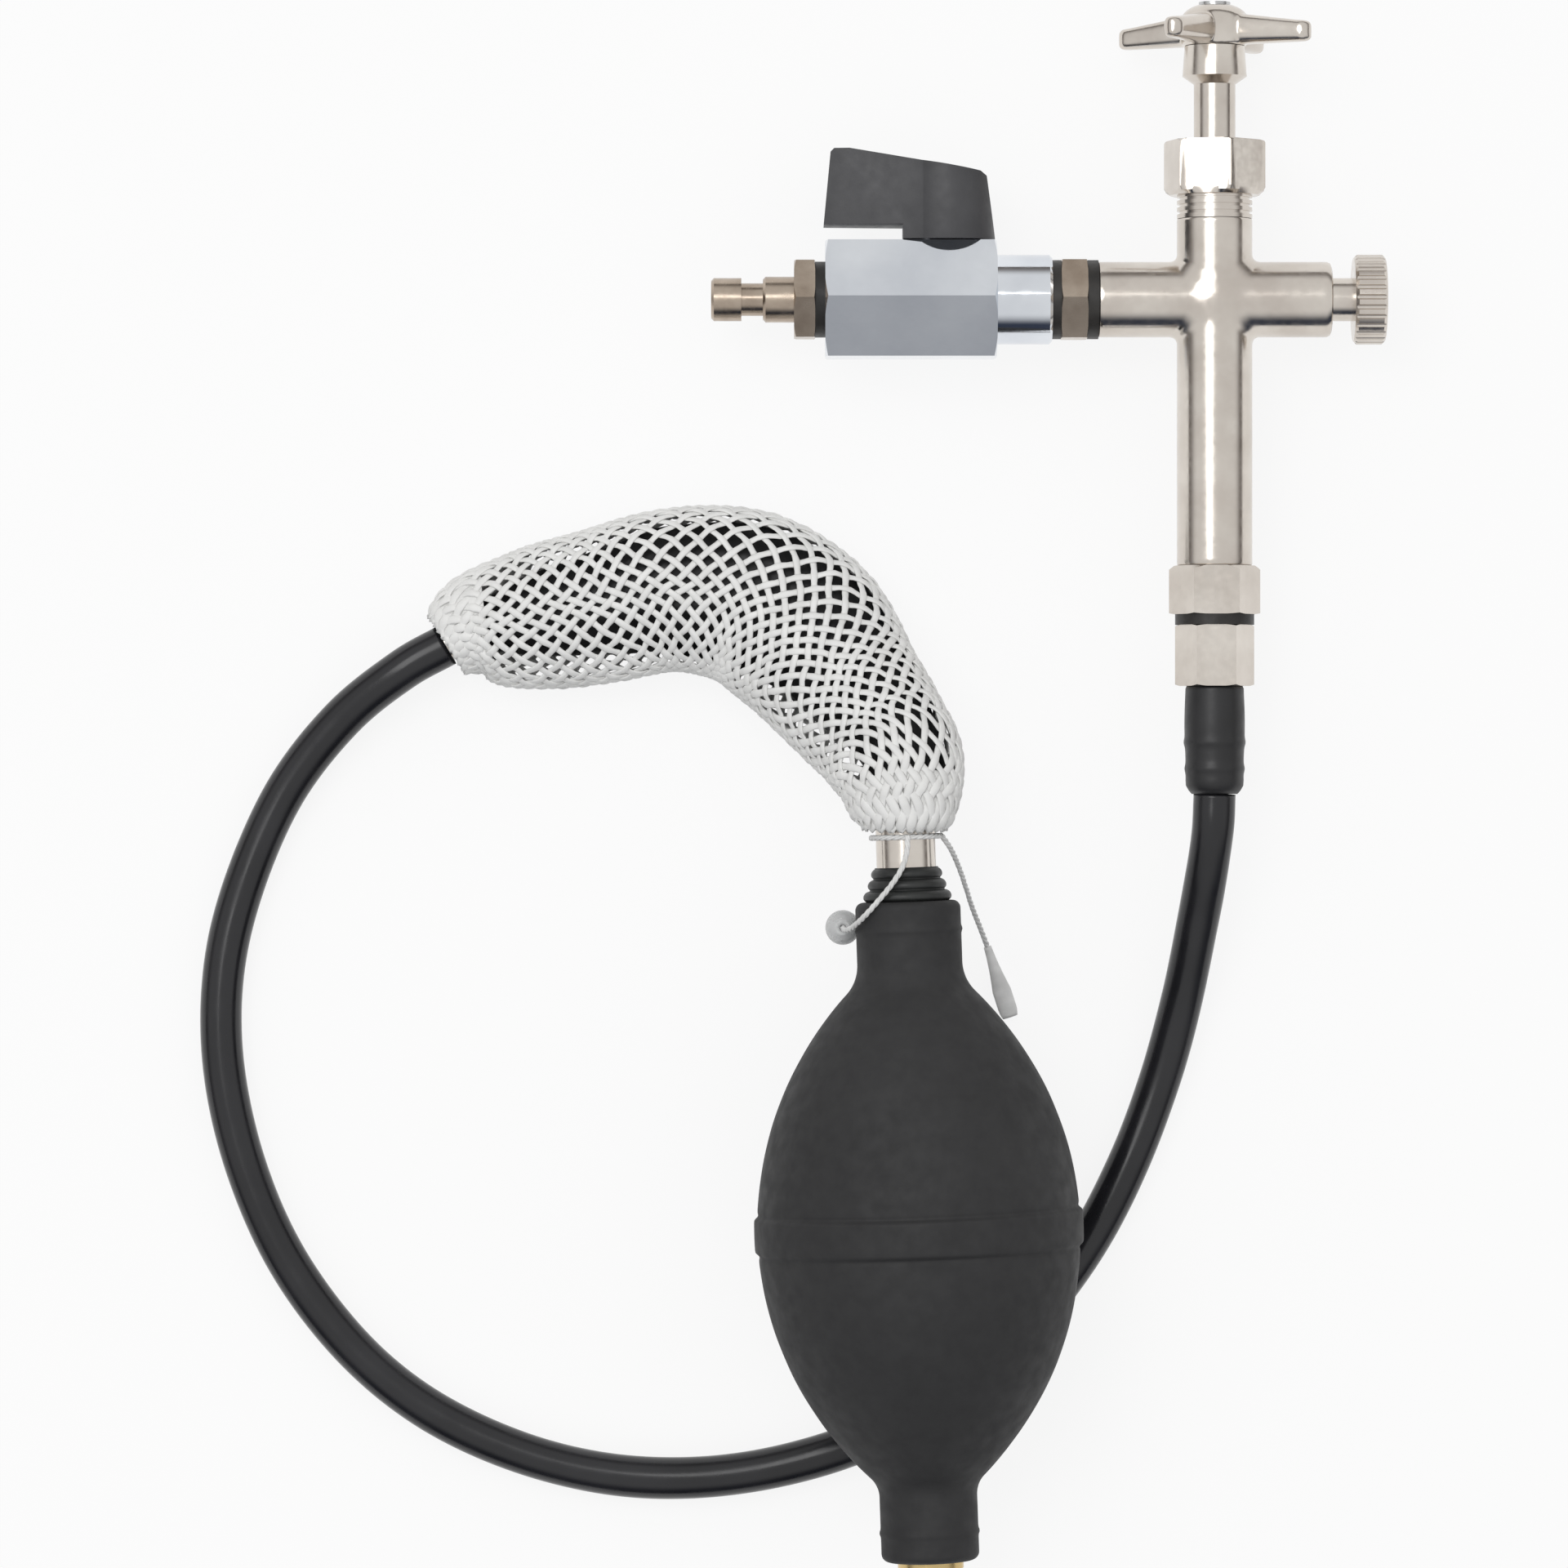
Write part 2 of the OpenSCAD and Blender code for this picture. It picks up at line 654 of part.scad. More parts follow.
module hose_barb() color(nickel) on_rig() difference() {
    union() {
        bar_y(-barb_at, -end_nut_far + 3.4, nipple_male - thread_gap);
        hex_y(-cuff_at, -barb_at, barb_af, 0.6, 0.6);
        bar_y(cuff_end + 2.8, -cuff_at, barb_stem_r);
        for (y = barb_ridges) bar_y(-y - 1, -y + 1, barb_stem_r, barb_ridge_r);
    }
    bar_y(cuff_end, -arm_down, hose_bore / 2);
}

module hose_seal() color(black) on_rig() difference() {
    bar_y(-barb_at, -end_nut_far, washer_r);
    bar_y(-barb_at - 1, -end_nut_far + 1, nipple_male + thread_gap);
}

module tube_end_nut() color(nickel) on_rig() difference() {
    hex_y(-end_nut_far, -arm_down, end_nut_af, 0.4, 1.6);
    bar_y(-end_nut_far - 1, -arm_down + 1, nipple_male);
}

// ---- Cross ----

module cross_body() color(nickel) on_rig() difference() {
    union() {
        bar_x(-arm_side, arm_side - 1, tube_r);
        bar_x(arm_side - 1, arm_side, tube_r, tube_r - 1);
        bar_y(-arm_down, arm_top, tube_r);
        bar_y(-arm_down - 5.4, -arm_down, nipple_male - thread_gap);
    }
    bar_x(-arm_side, vent_floor - web_t, bore_r);
    bar_x(-arm_side - 1, -arm_side + port_deep, port_r);
    bar_x(0, arm_side + 1, vent_hole_r);
    bar_x(vent_floor, arm_side + 1, vent_r + run_gap);
    bar_y(bonnet_in_y, arm_top + 1, port_r);
    difference() {
        bar_y(seat_y, bonnet_in_y + 0.1, bore_r);
        bar_y(seat_y - 1, seat_y + lip_h, seat_hole_r + 0.7);
    }
    bar_y(-arm_down - 6, 0, seat_hole_r);
    bar_y(-arm_down - 6, -arm_down + 6, 4);
    bar_y(-arm_down + 5, seat_y - web_t, bore_r);
}

// ---- Left line: nipple, ball valve and quick plug ----

module washer_x(at, t, r, hole) difference() {
    bar_x(-at - t, -at, r);
    bar_x(-at - t - 1, -at + 1, hole);
}

module seal_ring_a() color(black) on_rig() washer_x(arm_side, ring_a_t, washer_r, port_r);

module seal_ring_b() color(black) on_rig() washer_x(ring_b_at, ring_b_t, washer_r, port_r);

module double_nipple() color(nickel) on_rig() difference() {
    union() {
        hex_x(-ring_b_at, -nipple_at, nipple_af, 0.5, 0.5);
        bar_x(-nipple_at, -arm_side + nipple_end - 0.5, thread_d / 2);
        bar_x(-valve_end_at - nipple_end + 0.5, -ring_b_at, thread_d / 2);
    }
    bar_x(-valve_end_at - nipple_end, -arm_side + nipple_end, nipple_bore_r);
}

module valve_end() color(chromed) on_rig() difference() {
    union() {
        bar_x(-valve_at, -valve_end_at - 0.5, valve_end_d / 2);
        bar_x(-valve_end_at - 0.5, -valve_end_at, valve_end_d / 2, valve_end_d / 2 - 0.5);
        bar_x(-valve_at - spigot_len, -valve_at, spigot_r);
    }
    bar_x(-valve_end_at - nipple_end, -valve_end_at + 1, port_r);
    bar_x(-valve_at - spigot_len - 1, -valve_end_at, valve_bore / 2);
}

module valve_body() color(chromed) on_rig() difference() {
    union() {
        hex_x(-valve_far, -valve_at, valve_af, 0.9, 0.9);
        translate([-stem_at, flat_y, 0]) rotate([0, lever_swing / 2, 0]) translate([-stop_ring_r, 0, 0])
            bar_y(-1, stop_h, stop_pin_r);
    }
    bar_x(-valve_at - spigot_len, -valve_at + 1, spigot_r + thread_gap);
    bar_x(-stem_at - seat_ring_out, -valve_at, cavity_r);
    bar_x(-valve_far, -valve_at, valve_bore / 2);
    bar_x(-valve_far - 1, -valve_far + port_deep + 2, port_r);
    translate([-stem_at, 0, 0]) {
        bar_y(0, gland_y, flange_r + run_gap);
        bar_y(0, flat_y + 1, stem_r + run_gap);
    }
}

module valve_ball() color(steel) on_rig() translate([-stem_at, 0, 0]) difference() {
    rotate([0, 90, 0]) rotate_extrude() difference() {
        circle(r = valve_ball_r);
        translate([-valve_ball_r - 1, -valve_ball_r - 1])
            square([valve_ball_r + 1 + valve_bore / 2, 2 * valve_ball_r + 2]);
    }
    translate([-slot_w / 2, slot_y, -valve_ball_r]) cube([slot_w, valve_ball_r, 2 * valve_ball_r]);
}

// A soft ring with a hollow that fits the ball
module ball_seat(side) on_rig() translate([-stem_at, 0, 0]) rotate([0, 0, side]) difference() {
    bar_x(seat_ring_in, seat_ring_out, cavity_r - 0.05);
    bar_x(0, seat_ring_out + 1, valve_bore / 2);
    sphere(r = valve_ball_r + run_gap);
}

module ball_seat_left() color(ptfe) ball_seat(180);

module ball_seat_right() color(ptfe) ball_seat(0);

module valve_stem() color(nickel) on_rig() translate([-stem_at, 0, 0]) difference() {
    union() {
        translate([-slot_w / 2 + run_gap, slot_y + 0.1, -blade_w / 2])
            cube([slot_w - 2 * run_gap, flange_y[0] - slot_y, blade_w]);
        bar_y(flange_y[0], flange_y[1], flange_r);
        bar_y(flange_y[1] - 0.1, flat_y + lever_gap, stem_r);
        translate([-drive / 2, flat_y, -drive / 2]) cube([drive, web_top - 0.5 - flat_y, drive]);
    }
    bar_y(flat_y + 1, web_top, screw_r + screw_gap);
}

module stem_packing() color(ptfe) on_rig() translate([-stem_at, 0, 0]) difference() {
    bar_y(flange_y[1] + 0.05, gland_y, flange_r);
    bar_y(flange_y[1] - 1, gland_y + 1, stem_r + run_gap);
}

// Side outline of the lever, from the stem's axis
lever_outline = [
    [-hub_r, flat_y + lever_gap], [-hub_r, grip_under], [-lever_reach, grip_under],
    [-lever_reach + 1.3, lever_top - 0.7], [-lever_reach + 2, lever_top],
    [-lever_reach + 4.9, lever_top], [hub_r - 2.9, lever_top - 4.4], [hub_r - 1.7, lever_top - 5.3],
    [hub_r, flat_y + lever_gap]
];

module lever() color([0.29, 0.29, 0.31]) on_rig() translate([-stem_at, 0, 0]) difference() {
    intersection() {
        translate([0, 0, -hub_r - 1]) linear_extrude(2 * hub_r + 2) polygon(lever_outline);
        union() {
            bar_y(0, lever_top + 1, hub_r);
            translate([0, lever_top + 1, 0]) rotate([90, 0, 0]) linear_extrude(lever_top + 1)
                polygon([
                    [0, -hub_r * 0.8], [-lever_reach - 1, -grip_half_w],
                    [-lever_reach - 1, grip_half_w], [0, hub_r * 0.8]
                ]);
        }
    }
    translate([-drive / 2 - drive_gap, 0, -drive / 2 - drive_gap])
        cube([drive + 2 * drive_gap, web_top + 1, drive + 2 * drive_gap]);
    bar_y(web_top, lever_top + 1, head_r + 0.4);
    // Quarter groove that runs on the body's stop pin
    intersection() {
        difference() {
            bar_y(0, flat_y + stop_h + 2 * stop_gap, stop_ring_r + stop_pin_r + stop_gap);
            bar_y(-1, lever_top, stop_ring_r - stop_pin_r - stop_gap);
        }
        rotate([90, 0, 0]) linear_extrude(4 * lever_top, center = true) polygon([
            [0, 0], hub_r * [-cos(stop_half), sin(stop_half)], hub_r * [-1, sin(stop_half)],
            hub_r * [-1, -sin(stop_half)], hub_r * [-cos(stop_half), -sin(stop_half)]
        ]);
    }
}

module lever_screw() color(steel) on_rig() translate([-stem_at, 0, 0]) difference() {
    union() {
        bar_y(flat_y + 1.5, web_top + 0.1, screw_r);
        bar_y(web_top, web_top + 2.2, head_r);
    }
    translate([-2, web_top + 1.2, -0.4]) cube([4, 2, 0.8]);
}

module plug_seal() color(black) on_rig() washer_x(valve_far, plug_seal_t, plug_seal_r, port_r);

module plug_nipple() color(nickel) on_rig() {
    hex_far = plug_at + plug_hex_t;
    barrel_far = hex_far + barrel_len;
    groove_far = barrel_far + groove_len;
    difference() {
        union() {
            bar_x(-plug_at, -valve_far + port_deep, thread_d / 2);
            hex_x(-hex_far, -plug_at, plug_hex_af, 0.8, 0.4);
            bar_x(-barrel_far + 0.5, -hex_far, barrel_r);
            bar_x(-barrel_far, -barrel_far + 0.5, barrel_r - 0.5, barrel_r);
            bar_x(-groove_far, -barrel_far, groove_r);
            bar_x(-plug_far + 0.5, -groove_far, plug_tip_r);
            bar_x(-plug_far, -plug_far + 0.5, plug_tip_r - 0.5, plug_tip_r);
        }
        bar_x(-plug_far - 1, -valve_far + port_deep + 1, plug_bore / 2);
    }
}

// ---- Top arm: screw valve ----

module bonnet() color(nickel) on_rig() difference() {
    union() {
        bar_y(bonnet_in_y + 0.2, arm_top, thread_d / 2);
        bar_y(arm_top, nut_y, tube_r);
        bar_y(nut_y, bonnet_top, packing_af / 2 - 1.9);
    }
    for (i = [0 : 2]) translate([0, arm_top + 0.8 + i * 1.3, 0]) difference() {
        bar_y(0, 0.6, tube_r + 1);
        bar_y(-1, 1.6, tube_r - 0.5);
    }
    bar_y(0, bonnet_top + 1, thread_r + run_gap);
    bar_y(shoulder_y - 0.5, bonnet_top + 1, shank_r + run_gap);
}

module spindle_packing() color(ptfe) on_rig() difference() {
    bar_y(bonnet_top, bonnet_top + packing_t, packing_af / 2 - 2);
    bar_y(bonnet_top - 1, bonnet_top + packing_t + 1, shank_r + run_gap);
}

module packing_nut() color(nickel) on_rig() difference() {
    hex_y(nut_y, nut_y + nut_h, packing_af, 1.2, 0.6, packing_turn);
    bar_y(nut_y - 1, bonnet_top + packing_t, packing_af / 2 - 1.85);
    bar_y(nut_y, nut_y + nut_h + 1, shank_r + run_gap);
}

module spindle() color(nickel) on_rig() difference() {
    union() {
        bar_y(spindle_y, shoulder_y, thread_r);
        bar_y(shoulder_y, shank_top, shank_r);
        bar_y(shank_top, collar_y[0], shank_r, collar_r[0]);
        bar_y(collar_y[0], collar_y[1], collar_r[0], collar_r[1]);
        translate([0, collar_y[1] - 0.1, 0]) rotate([0, -handle_turn, 0])
            translate([-square / 2, 0, -square / 2]) cube([square, square_top - collar_y[1] + 0.1, square]);
    }
    bar_y(spindle_y - 1, spindle_y + peg_len + 0.4, peg_r + run_gap);
    bar_y(square_top - 8, square_top + 1, screw_r + screw_gap);
}

// Side outline of one handle arm: reach and height over the collar
arm_outline = [
    [0, 0], [handle_r, 0], [handle_r, 3.9], [handle_r - 0.8, 4.3], [hub_top_r, 6.4], [0, 7]
];

module cross_handle() color(nickel) on_rig() translate([0, collar_y[1], 0])
    rotate([0, -handle_turn, 0]) difference() {
        union() {
            for (a = [0 : 90 : 270]) rotate([0, a, 0]) intersection() {
                translate([0, 0, -4]) linear_extrude(8) polygon(arm_outline);
                rotate([-90, 0, 0]) union() {
                    linear_extrude(handle_h + 1) polygon([
                        [0, -3], [handle_r - tip_r, -tip_r], [handle_r - tip_r, tip_r], [0, 3]
                    ]);
                    translate([handle_r - tip_r, 0, 0]) cylinder(h = handle_h + 1, r = tip_r);
                }
            }
            bar_y(0, 6.4, hub_top_r);
            bar_y(6.4, 7.8, hub_top_r, hub_top_r - 1.6);
            bar_y(7.8, handle_h, hub_top_r - 1.6, hub_top_r - 2.9);
        }
        translate([-square / 2 - drive_gap, -1, -square / 2 - drive_gap])
            cube([square + 2 * drive_gap, square_top - collar_y[1] + 1.2, square + 2 * drive_gap]);
        bar_y(0, handle_h + 1, screw_r + 0.2);
        bar_y(handle_h - head_deep, handle_h + 1, head_r + 0.2);
    }

module handle_screw() color(steel) on_rig() difference() {
    union() {
        bar_y(square_top - 7, collar_y[1] + handle_h - head_deep, screw_r);
        bar_y(collar_y[1] + handle_h - head_deep, collar_y[1] + handle_h, head_r);
    }
    translate([-2, collar_y[1] + handle_h - 1, -0.4]) cube([4, 2, 0.8]);
}

module jumper() color(brass) on_rig() {
    bar_y(jumper_y, spindle_y - 0.05, bore_r - disc_gap);
    bar_y(spindle_y - 0.1, spindle_y + peg_len, peg_r);
    bar_y(jumper_y - rubber_t + 0.3, jumper_y + 0.1, 1);
}

module jumper_washer() color(black) on_rig() difference() {
    bar_y(jumper_y - rubber_t + 0.05, jumper_y, bore_r - disc_gap - 0.2);
    bar_y(jumper_y - rubber_t - 1, jumper_y + 1, 1.05);
}

// ---- Right arm: vent plug ----

module vent_washer() color(black) on_rig()
    bar_x(vent_floor + vent_gap, vent_floor + vent_gap + vent_washer_t, vent_r - 0.4);

module vent_plug() color(nickel) on_rig() {
    tip = vent_floor + vent_gap + vent_washer_t;
    head = arm_side + vent_neck;
    rim_r = vent_head_d / 2;
    difference() {
        union() {
            bar_x(tip, head, vent_r);
            bar_x(head, head + 0.6, rim_r - 0.6, rim_r);
            bar_x(head + 0.6, head + vent_head_t - 0.6, rim_r);
            bar_x(head + vent_head_t - 0.6, head + vent_head_t, rim_r, rim_r - 0.6);
        }
        // Vent slot along the thread
        translate([tip - 1, vent_r - 0.8, -vent_slot / 2])
            cube([head - tip - 0.5, vent_slot, vent_slot]);
        for (k = [0 : knurls - 1]) rotate([360 * k / knurls, 0, 0]) translate([0, rim_r + 0.1, 0])
            bar_x(head - 1, head + vent_head_t + 1, 0.5, $fn = 16);
    }
}

squeeze_bulb();
inlet_valve_body();
inlet_ball();
inlet_ball_stop();
inlet_filter();
outlet_bushing();
connector_tube();
outlet_ball();
outlet_ball_stop();
bladder();
net_bag();
bladder_joiner();
drawstring_loop();
drawstring_front();
drawstring_back();
drawstring_bead();
drawstring_tag();
hose();
hose_cuff();
hose_barb();
hose_seal();
tube_end_nut();
cross_body();
seal_ring_a();
double_nipple();
seal_ring_b();
valve_end();
valve_body();
valve_ball();
ball_seat_left();
ball_seat_right();
valve_stem();
stem_packing();
lever();
lever_screw();
plug_seal();
plug_nipple();
bonnet();
spindle_packing();
packing_nut();
spindle();
cross_handle();
handle_screw();
jumper();
jumper_washer();
vent_washer();
vent_plug();
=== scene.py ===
"""Looks of the hand vacuum pump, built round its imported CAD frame.

Metres, in the frame of the CAD: the pump lies on z = 0. Sizes below are in millimetres and are
turned into metres where a mesh is made. "Rig" is the pipework: its origin is the cross's centre.
"""
import math

import bmesh
import bpy
import numpy as np
from mathutils import Matrix, Vector, noise


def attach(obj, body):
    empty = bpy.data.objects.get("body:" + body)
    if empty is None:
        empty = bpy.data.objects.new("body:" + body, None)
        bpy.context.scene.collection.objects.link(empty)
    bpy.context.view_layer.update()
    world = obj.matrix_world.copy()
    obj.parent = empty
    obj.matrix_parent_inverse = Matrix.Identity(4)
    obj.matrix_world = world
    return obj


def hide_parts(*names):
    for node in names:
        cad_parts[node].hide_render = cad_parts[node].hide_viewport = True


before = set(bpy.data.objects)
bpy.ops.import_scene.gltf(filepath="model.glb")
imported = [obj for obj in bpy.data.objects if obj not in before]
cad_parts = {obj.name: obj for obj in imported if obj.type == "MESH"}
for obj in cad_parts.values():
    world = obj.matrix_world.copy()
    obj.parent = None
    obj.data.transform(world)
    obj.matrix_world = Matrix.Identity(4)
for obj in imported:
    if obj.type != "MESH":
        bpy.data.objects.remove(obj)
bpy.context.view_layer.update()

MM = 0.001
RIG = Vector((60.9, 91.8, 17.805))
BULB = Vector((4.6, -84.1, 31.0))
BULB_LEAN = math.radians(2)
BULB_R, BULB_ARC_R, BULB_WALL, NECK_END = 30.4, 64.2, 3.0, 62.0
CAMERA_AT, CAMERA_LENS = (-0.0208, -0.0001, 1.45), 173.3
LAMP_AT, LAMP_SIDE, LAMP_POWER = (-0.5, 0.5, 1.7), 0.9, 7
FLOOR_HALF, FLOOR_GLOW, SKY_STRENGTH = 4000, 0.86, 0.8
BULB_AXIS = Vector((-math.sin(BULB_LEAN), math.cos(BULB_LEAN), 0))


# ---- Mesh tools: everything here takes millimetres ----

def link(obj):
    bpy.context.scene.collection.objects.link(obj)
    return obj


def mesh_piece(name, points, faces, smooth=True):
    """A mesh object from points in millimetres."""
    mesh = bpy.data.meshes.new(name)
    mesh.from_pydata([tuple(c * MM for c in p) for p in points], [], faces)
    mesh.update()
    bm = bmesh.new()
    bm.from_mesh(mesh)
    bmesh.ops.recalc_face_normals(bm, faces=bm.faces)
    bm.to_mesh(mesh)
    bm.free()
    if smooth:
        mesh.polygons.foreach_set("use_smooth", [True] * len(mesh.polygons))
    return link(bpy.data.objects.new(name, mesh))


def apply_modifiers(obj):
    """Bakes an object's modifiers into its mesh."""
    bpy.context.view_layer.update()
    graph = bpy.context.evaluated_depsgraph_get()
    done = bpy.data.meshes.new_from_object(obj.evaluated_get(graph))
    old = obj.data
    obj.modifiers.clear()
    obj.data = done
    bpy.data.meshes.remove(old)
    return obj


def smooth_by_angle(obj, degrees=35):
    """Smooth shading with sharp edges where faces meet at more than the angle."""
    mesh = obj.data
    bm = bmesh.new()
    bm.from_mesh(mesh)
    limit = math.radians(degrees)
    for edge in bm.edges:
        edge.smooth = not (len(edge.link_faces) == 2 and edge.calc_face_angle() > limit)
    for face in bm.faces:
        face.smooth = True
    bm.to_mesh(mesh)
    bm.free()


def catmull(points, steps):
    """The CAD's smooth curve through points, with some steps between two of them."""
    p = [np.array(q, float) for q in points]
    out = []
    for i in range(len(p) - 1):
        a = p[i - 1] if i > 0 else 2 * p[0] - p[1]
        b, c = p[i], p[i + 1]
        d = p[i + 2] if i < len(p) - 2 else 2 * c - b
        for k in range(steps):
            t = k / steps
            out.append(b + ((c - a) * t + (2 * a - 5 * b + 4 * c - d) * t * t
                            + (3 * b - a - 3 * c + d) * t ** 3) / 2)
    out.append(p[-1])
    return np.array(out)


def headings(path):
    d = np.gradient(path, axis=0)
    return d / np.linalg.norm(d, axis=1)[:, None]


def side_frames(path):
    """Two directions square to each point of a path, turning as little as they can."""
    d = headings(path)
    first = np.cross(d[0], (0, 0, 1))
    if np.linalg.norm(first) < 1e-6:
        first = np.cross(d[0], (1, 0, 0))
    sides = [first / np.linalg.norm(first)]
    for i in range(1, len(d)):
        s = sides[-1] - d[i] * np.dot(sides[-1], d[i])
        sides.append(s / np.linalg.norm(s))
    sides = np.array(sides)
    return sides, np.cross(sides, d)


def ring_faces(rings, sides, base=0, loop=False):
    """Quads between neighbouring rings of points."""
    out = []
    for i in range(rings if loop else rings - 1):
        j = (i + 1) % rings
        for k in range(sides):
            m = (k + 1) % sides
            out.append((base + i * sides + k, base + i * sides + m,
                        base + j * sides + m, base + j * sides + k))
    return out


def tube_mesh(path, wide, high=None, sides=12):
    """Points and faces of a closed tube with an oval section along a path."""
    n = len(path)
    wide = np.broadcast_to(wide, n)
    high = wide if high is None else np.broadcast_to(high, n)
    a, b = side_frames(path)
    points = []
    for i in range(n):
        for k in range(sides):
            t = 2 * math.pi * k / sides
            points.append(path[i] + wide[i] * math.cos(t) * a[i] + high[i] * math.sin(t) * b[i])
    faces = ring_faces(n, sides)
    faces.append(tuple(range(sides)))
    faces.append(tuple((n - 1) * sides + k for k in range(sides)))
    return points, faces


def join_parts(parts):
    """One list of points and faces from several."""
    points, faces = [], []
    for p, f in parts:
        base = len(points)
        points.extend(p)
        faces.extend(tuple(base + i for i in face) for face in f)
    return points, faces


def lathe_mesh(outline, origin, axis, sides=96):
    """Turns a closed outline of (radius, distance along the axis) round an axis."""
    axis = Vector(axis).normalized()
    a = axis.orthogonal().normalized()
    b = axis.cross(a)
    points, faces, ring_at = [], [], []
    for r, s in outline:
        ring_at.append((len(points), r > 1e-6))
        centre = Vector(origin) + axis * s
        if r > 1e-6:
            points.extend(centre + (a * math.cos(t) + b * math.sin(t)) * r
                          for t in (2 * math.pi * k / sides for k in range(sides)))
        else:
            points.append(centre)
    closed = outline[0][0] > 1e-6 and outline[-1][0] > 1e-6
    pairs = list(zip(ring_at, ring_at[1:])) + ([(ring_at[-1], ring_at[0])] if closed else [])
    for (i, full_i), (j, full_j) in pairs:
        for k in range(sides):
            m = (k + 1) % sides
            if full_i and full_j:
                faces.append((i + k, i + m, j + m, j + k))
            elif full_i:
                faces.append((i + k, i + m, j))
            elif full_j:
                faces.append((i, j + m, j + k))
    return points, faces


def rounded(outline, radius, steps=4):
    """Rounds the corners of an outline, but for those on its axis."""
    out, n = [], len(outline)
    for i, p in enumerate(outline):
        here = Vector(p)
        before, after = Vector(outline[i - 1]) - here, Vector(outline[(i + 1) % n]) - here
        if p[0] <= 1e-6:
            out.append(p)
            continue
        cut = min(radius, before.length * 0.45, after.length * 0.45)
        a, b = here + before.normalized() * cut, here + after.normalized() * cut
        for k in range(steps + 1):
            t = k / steps
            out.append(tuple(a * (1 - t) ** 2 + here * 2 * t * (1 - t) + b * t ** 2))
    return out


def on_rig(x, y, z=0.0):
    return RIG + Vector((x, y, z))


# ---- Materials ----

def ramp_of(nodes, stops):
    ramp = nodes.new("ShaderNodeValToRGB")
    elements = ramp.color_ramp.elements
    while len(elements) < len(stops):
        elements.new(0.5)
    for element, (at, colour) in zip(elements, stops):
        element.position = at
        element.color = (*colour, 1)
    return ramp


def surface(name, low, high, rough, metal=0.0, grain=60.0, spots=600.0, bump=0.02,
            bump_scale=1500.0, stretch=(1, 1, 1), **sockets):
    """A material with drifting colour, uneven gloss and a fine raised grain."""
    mat = bpy.data.materials.new(name)
    mat.use_nodes = True
    nodes, links = mat.node_tree.nodes, mat.node_tree.links
    shader = nodes["Principled BSDF"]
    shader.inputs["Metallic"].default_value = metal
    for socket, value in sockets.items():
        shader.inputs[socket.replace("_", " ")].default_value = value
    coord = nodes.new("ShaderNodeTexCoord")
    mapping = nodes.new("ShaderNodeMapping")
    mapping.inputs["Scale"].default_value = stretch
    links.new(coord.outputs["Object"], mapping.inputs["Vector"])

    def cloud(scale, detail):
        tex = nodes.new("ShaderNodeTexNoise")
        tex.inputs["Scale"].default_value = scale
        tex.inputs["Detail"].default_value = detail
        links.new(mapping.outputs["Vector"], tex.inputs["Vector"])
        return tex.outputs["Fac"]

    colour = ramp_of(nodes, [(0.3, low), (0.7, high)])
    links.new(cloud(grain, 4), colour.inputs["Fac"])
    links.new(colour.outputs["Color"], shader.inputs["Base Color"])
    gloss = nodes.new("ShaderNodeMapRange")
    gloss.inputs["From Min"].default_value, gloss.inputs["From Max"].default_value = 0.3, 0.7
    gloss.inputs["To Min"].default_value, gloss.inputs["To Max"].default_value = rough
    links.new(cloud(spots, 3), gloss.inputs["Value"])
    links.new(gloss.outputs["Result"], shader.inputs["Roughness"])
    raised = nodes.new("ShaderNodeBump")
    raised.inputs["Strength"].default_value = 0.5
    raised.inputs["Distance"].default_value = bump * MM
    links.new(cloud(bump_scale, 5), raised.inputs["Height"])
    links.new(raised.outputs["Normal"], shader.inputs["Normal"])
    return mat


